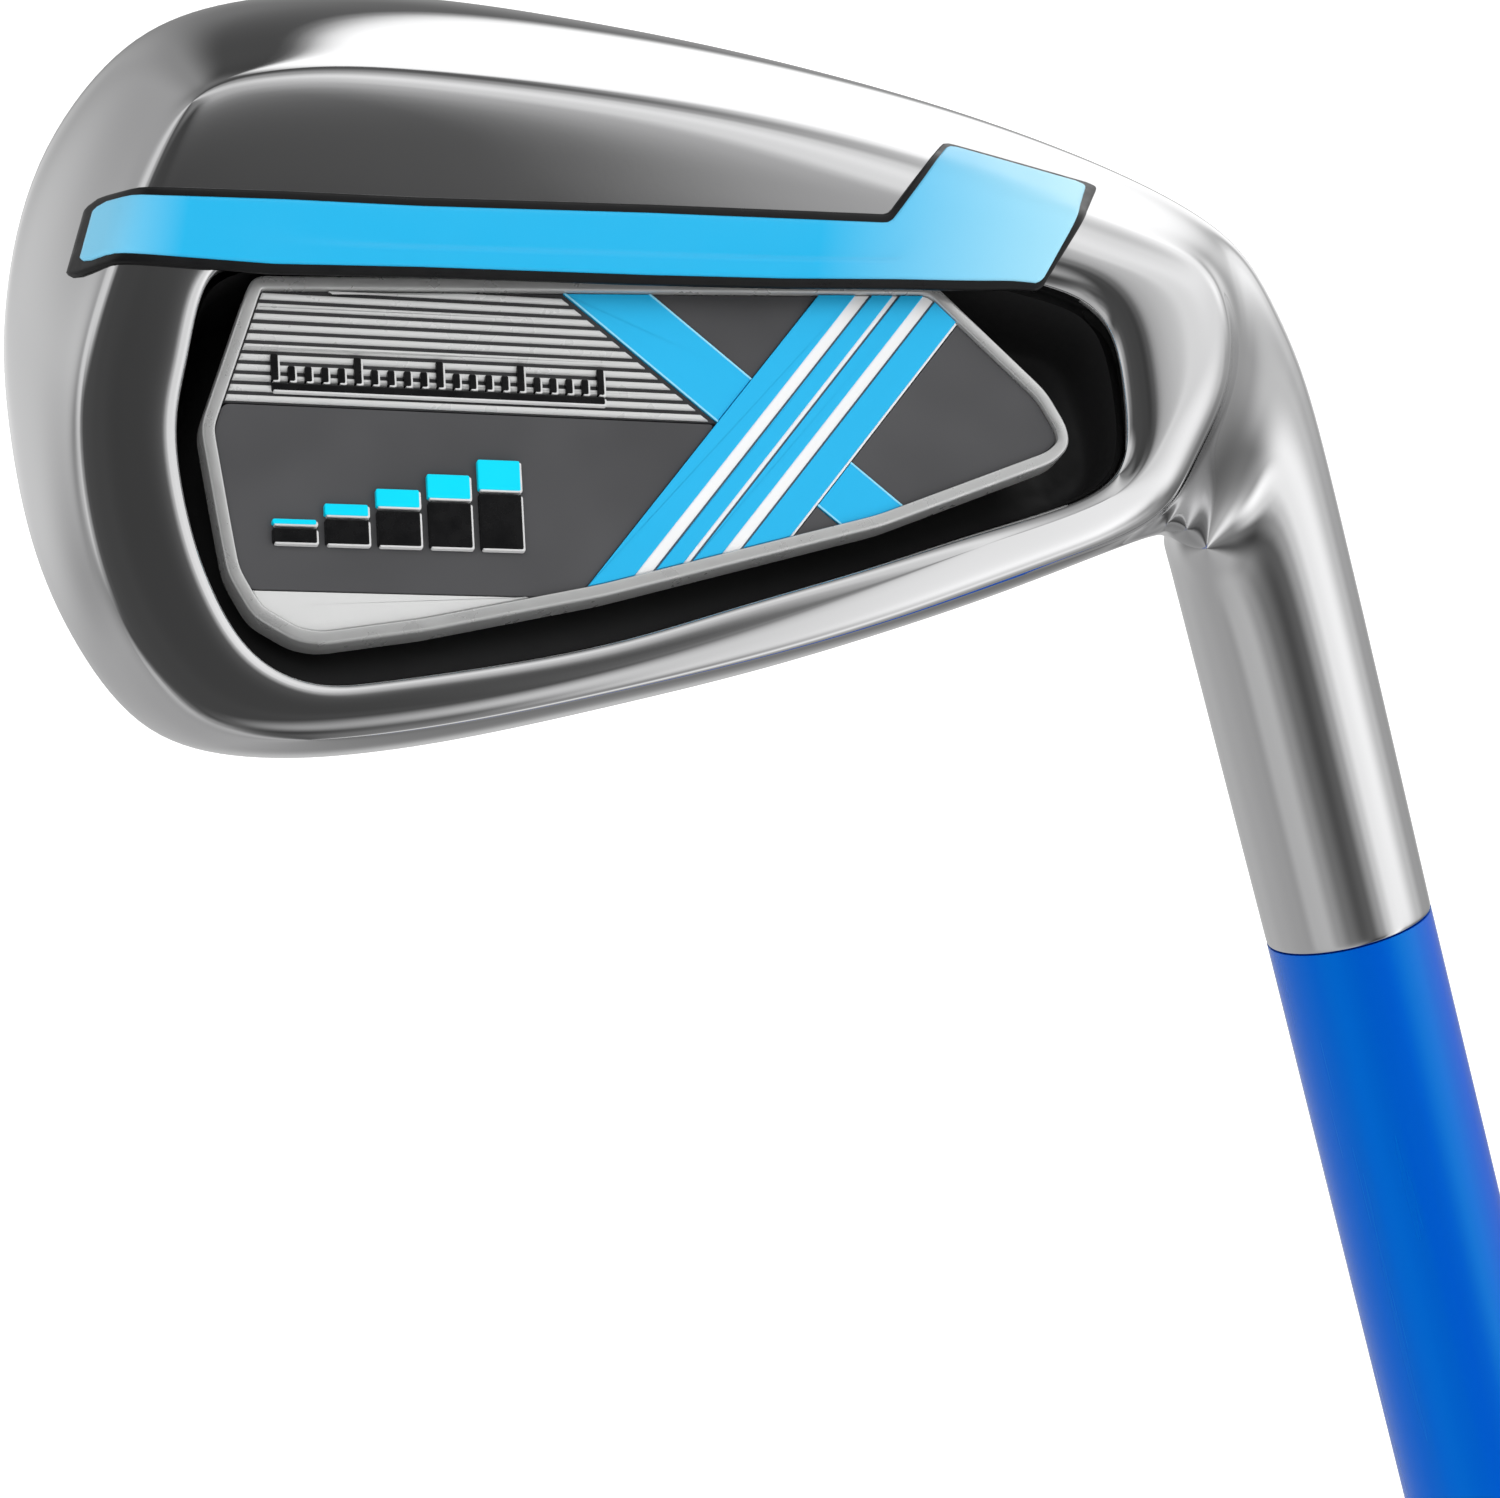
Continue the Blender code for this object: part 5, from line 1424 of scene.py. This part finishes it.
STEEL = steel_finish()
MILLED_FACE = milled_finish()
CAVITY_PAINT = black_paint_and_shade_finish("cavity_black", (0.016, 0.016, 0.0165), 0.5)
# near-black in the score lines: painted shade in the grooves
SCORE_SHADE_FINISH = black_paint_and_shade_finish("score_line_painted_shade", (0.03, 0.03, 0.03), 0.5)
BAND_BLACK = black_paint_and_shade_finish("band_black", (0.006, 0.006, 0.0065), 0.35)
GLOSS_BLACK = black_paint_and_shade_finish("gloss_black", (0.004, 0.004, 0.0045), 0.25)
BAND_BLUE = band_finish()
STRIPE_BLUE = enamel_finish("stripe_sky_blue", (0.022, 0.46, 0.82), (0.020, 0.445, 0.79))
# pale lines on the cross stripes' edges: painted highlight
HIGHLIGHT_BLUE = enamel_finish("stripe_edge_painted_highlight", (0.30, 0.72, 0.93), (0.26, 0.68, 0.90))
MOTIF_CYAN = enamel_finish("motif_cyan", (0.0, 0.72, 0.93), (0.0, 0.66, 0.90))
# white print of the broad stripe, which also shows as a painted highlight along its heel edge
ENAMEL_AND_HIGHLIGHT_WHITE = enamel_finish("enamel_and_highlight_white", (0.90, 0.90, 0.90), (0.86, 0.86, 0.86))
# light edges under the black ornaments: painted highlight
HIGHLIGHT_WHITE = enamel_finish("ornament_painted_highlight", (0.75, 0.75, 0.75), (0.6, 0.6, 0.6))
# dark lines beside the white stripe lines: painted shadow
PAINTED_SHADOW_GREY = enamel_finish("line_painted_shadow", (0.10, 0.14, 0.17), (0.08, 0.11, 0.14))
RIB_GROOVE = enamel_finish("rib_groove_dark", (0.035, 0.035, 0.037), (0.045, 0.045, 0.047))
FIELD_GREY = enamel_finish("field_grey", (0.062, 0.062, 0.065), (0.088, 0.088, 0.092), 0.42)
PALE_SILVER = silver_finish("corner_silver", 0.72, 0.38, 0.15)
RIM_SILVER = silver_finish("rim_silver", 0.60, 0.30, 0.6)
RIB_SILVER = silver_finish("rib_silver", 0.66, 0.3, 0.15)
SHAFT_BLUE = shaft_finish()
GRIP_RUBBER = grip_finish()
CAP_RUBBER = plain_finish("cap_rubber_black", (0.018, 0.018, 0.019), (0.026, 0.026, 0.027), 0.68, 0.7)
GRIP_TAPE = plain_finish("grip_tape_paper", (0.80, 0.76, 0.66), (0.72, 0.68, 0.58), 0.8, 0.9)
EPOXY = plain_finish("epoxy_amber", (0.70, 0.62, 0.42), (0.62, 0.54, 0.34), 0.4, 1.5)
FOAM = plain_finish("foam_pad_black", (0.03, 0.03, 0.03), (0.05, 0.05, 0.05), 0.85, 0.5)


def main():
    add_camera()
    make_band(make_head())
    make_badge_plate()
    make_fields()
    make_main_stripe()
    make_grille()
    make_tick_row()
    make_step_motif()
    make_shaft()
    make_grip_sleeve()
    make_end_cap()
    finish_hidden_nodes()
    studio_world()
    add_sun("key_sun", *KEY_SUN)
    add_sun("fill_sun", *FILL_SUN)
    add_floor()
    bpy.context.scene.view_settings.view_transform = "Standard"
    bpy.context.view_layer.update()


main()
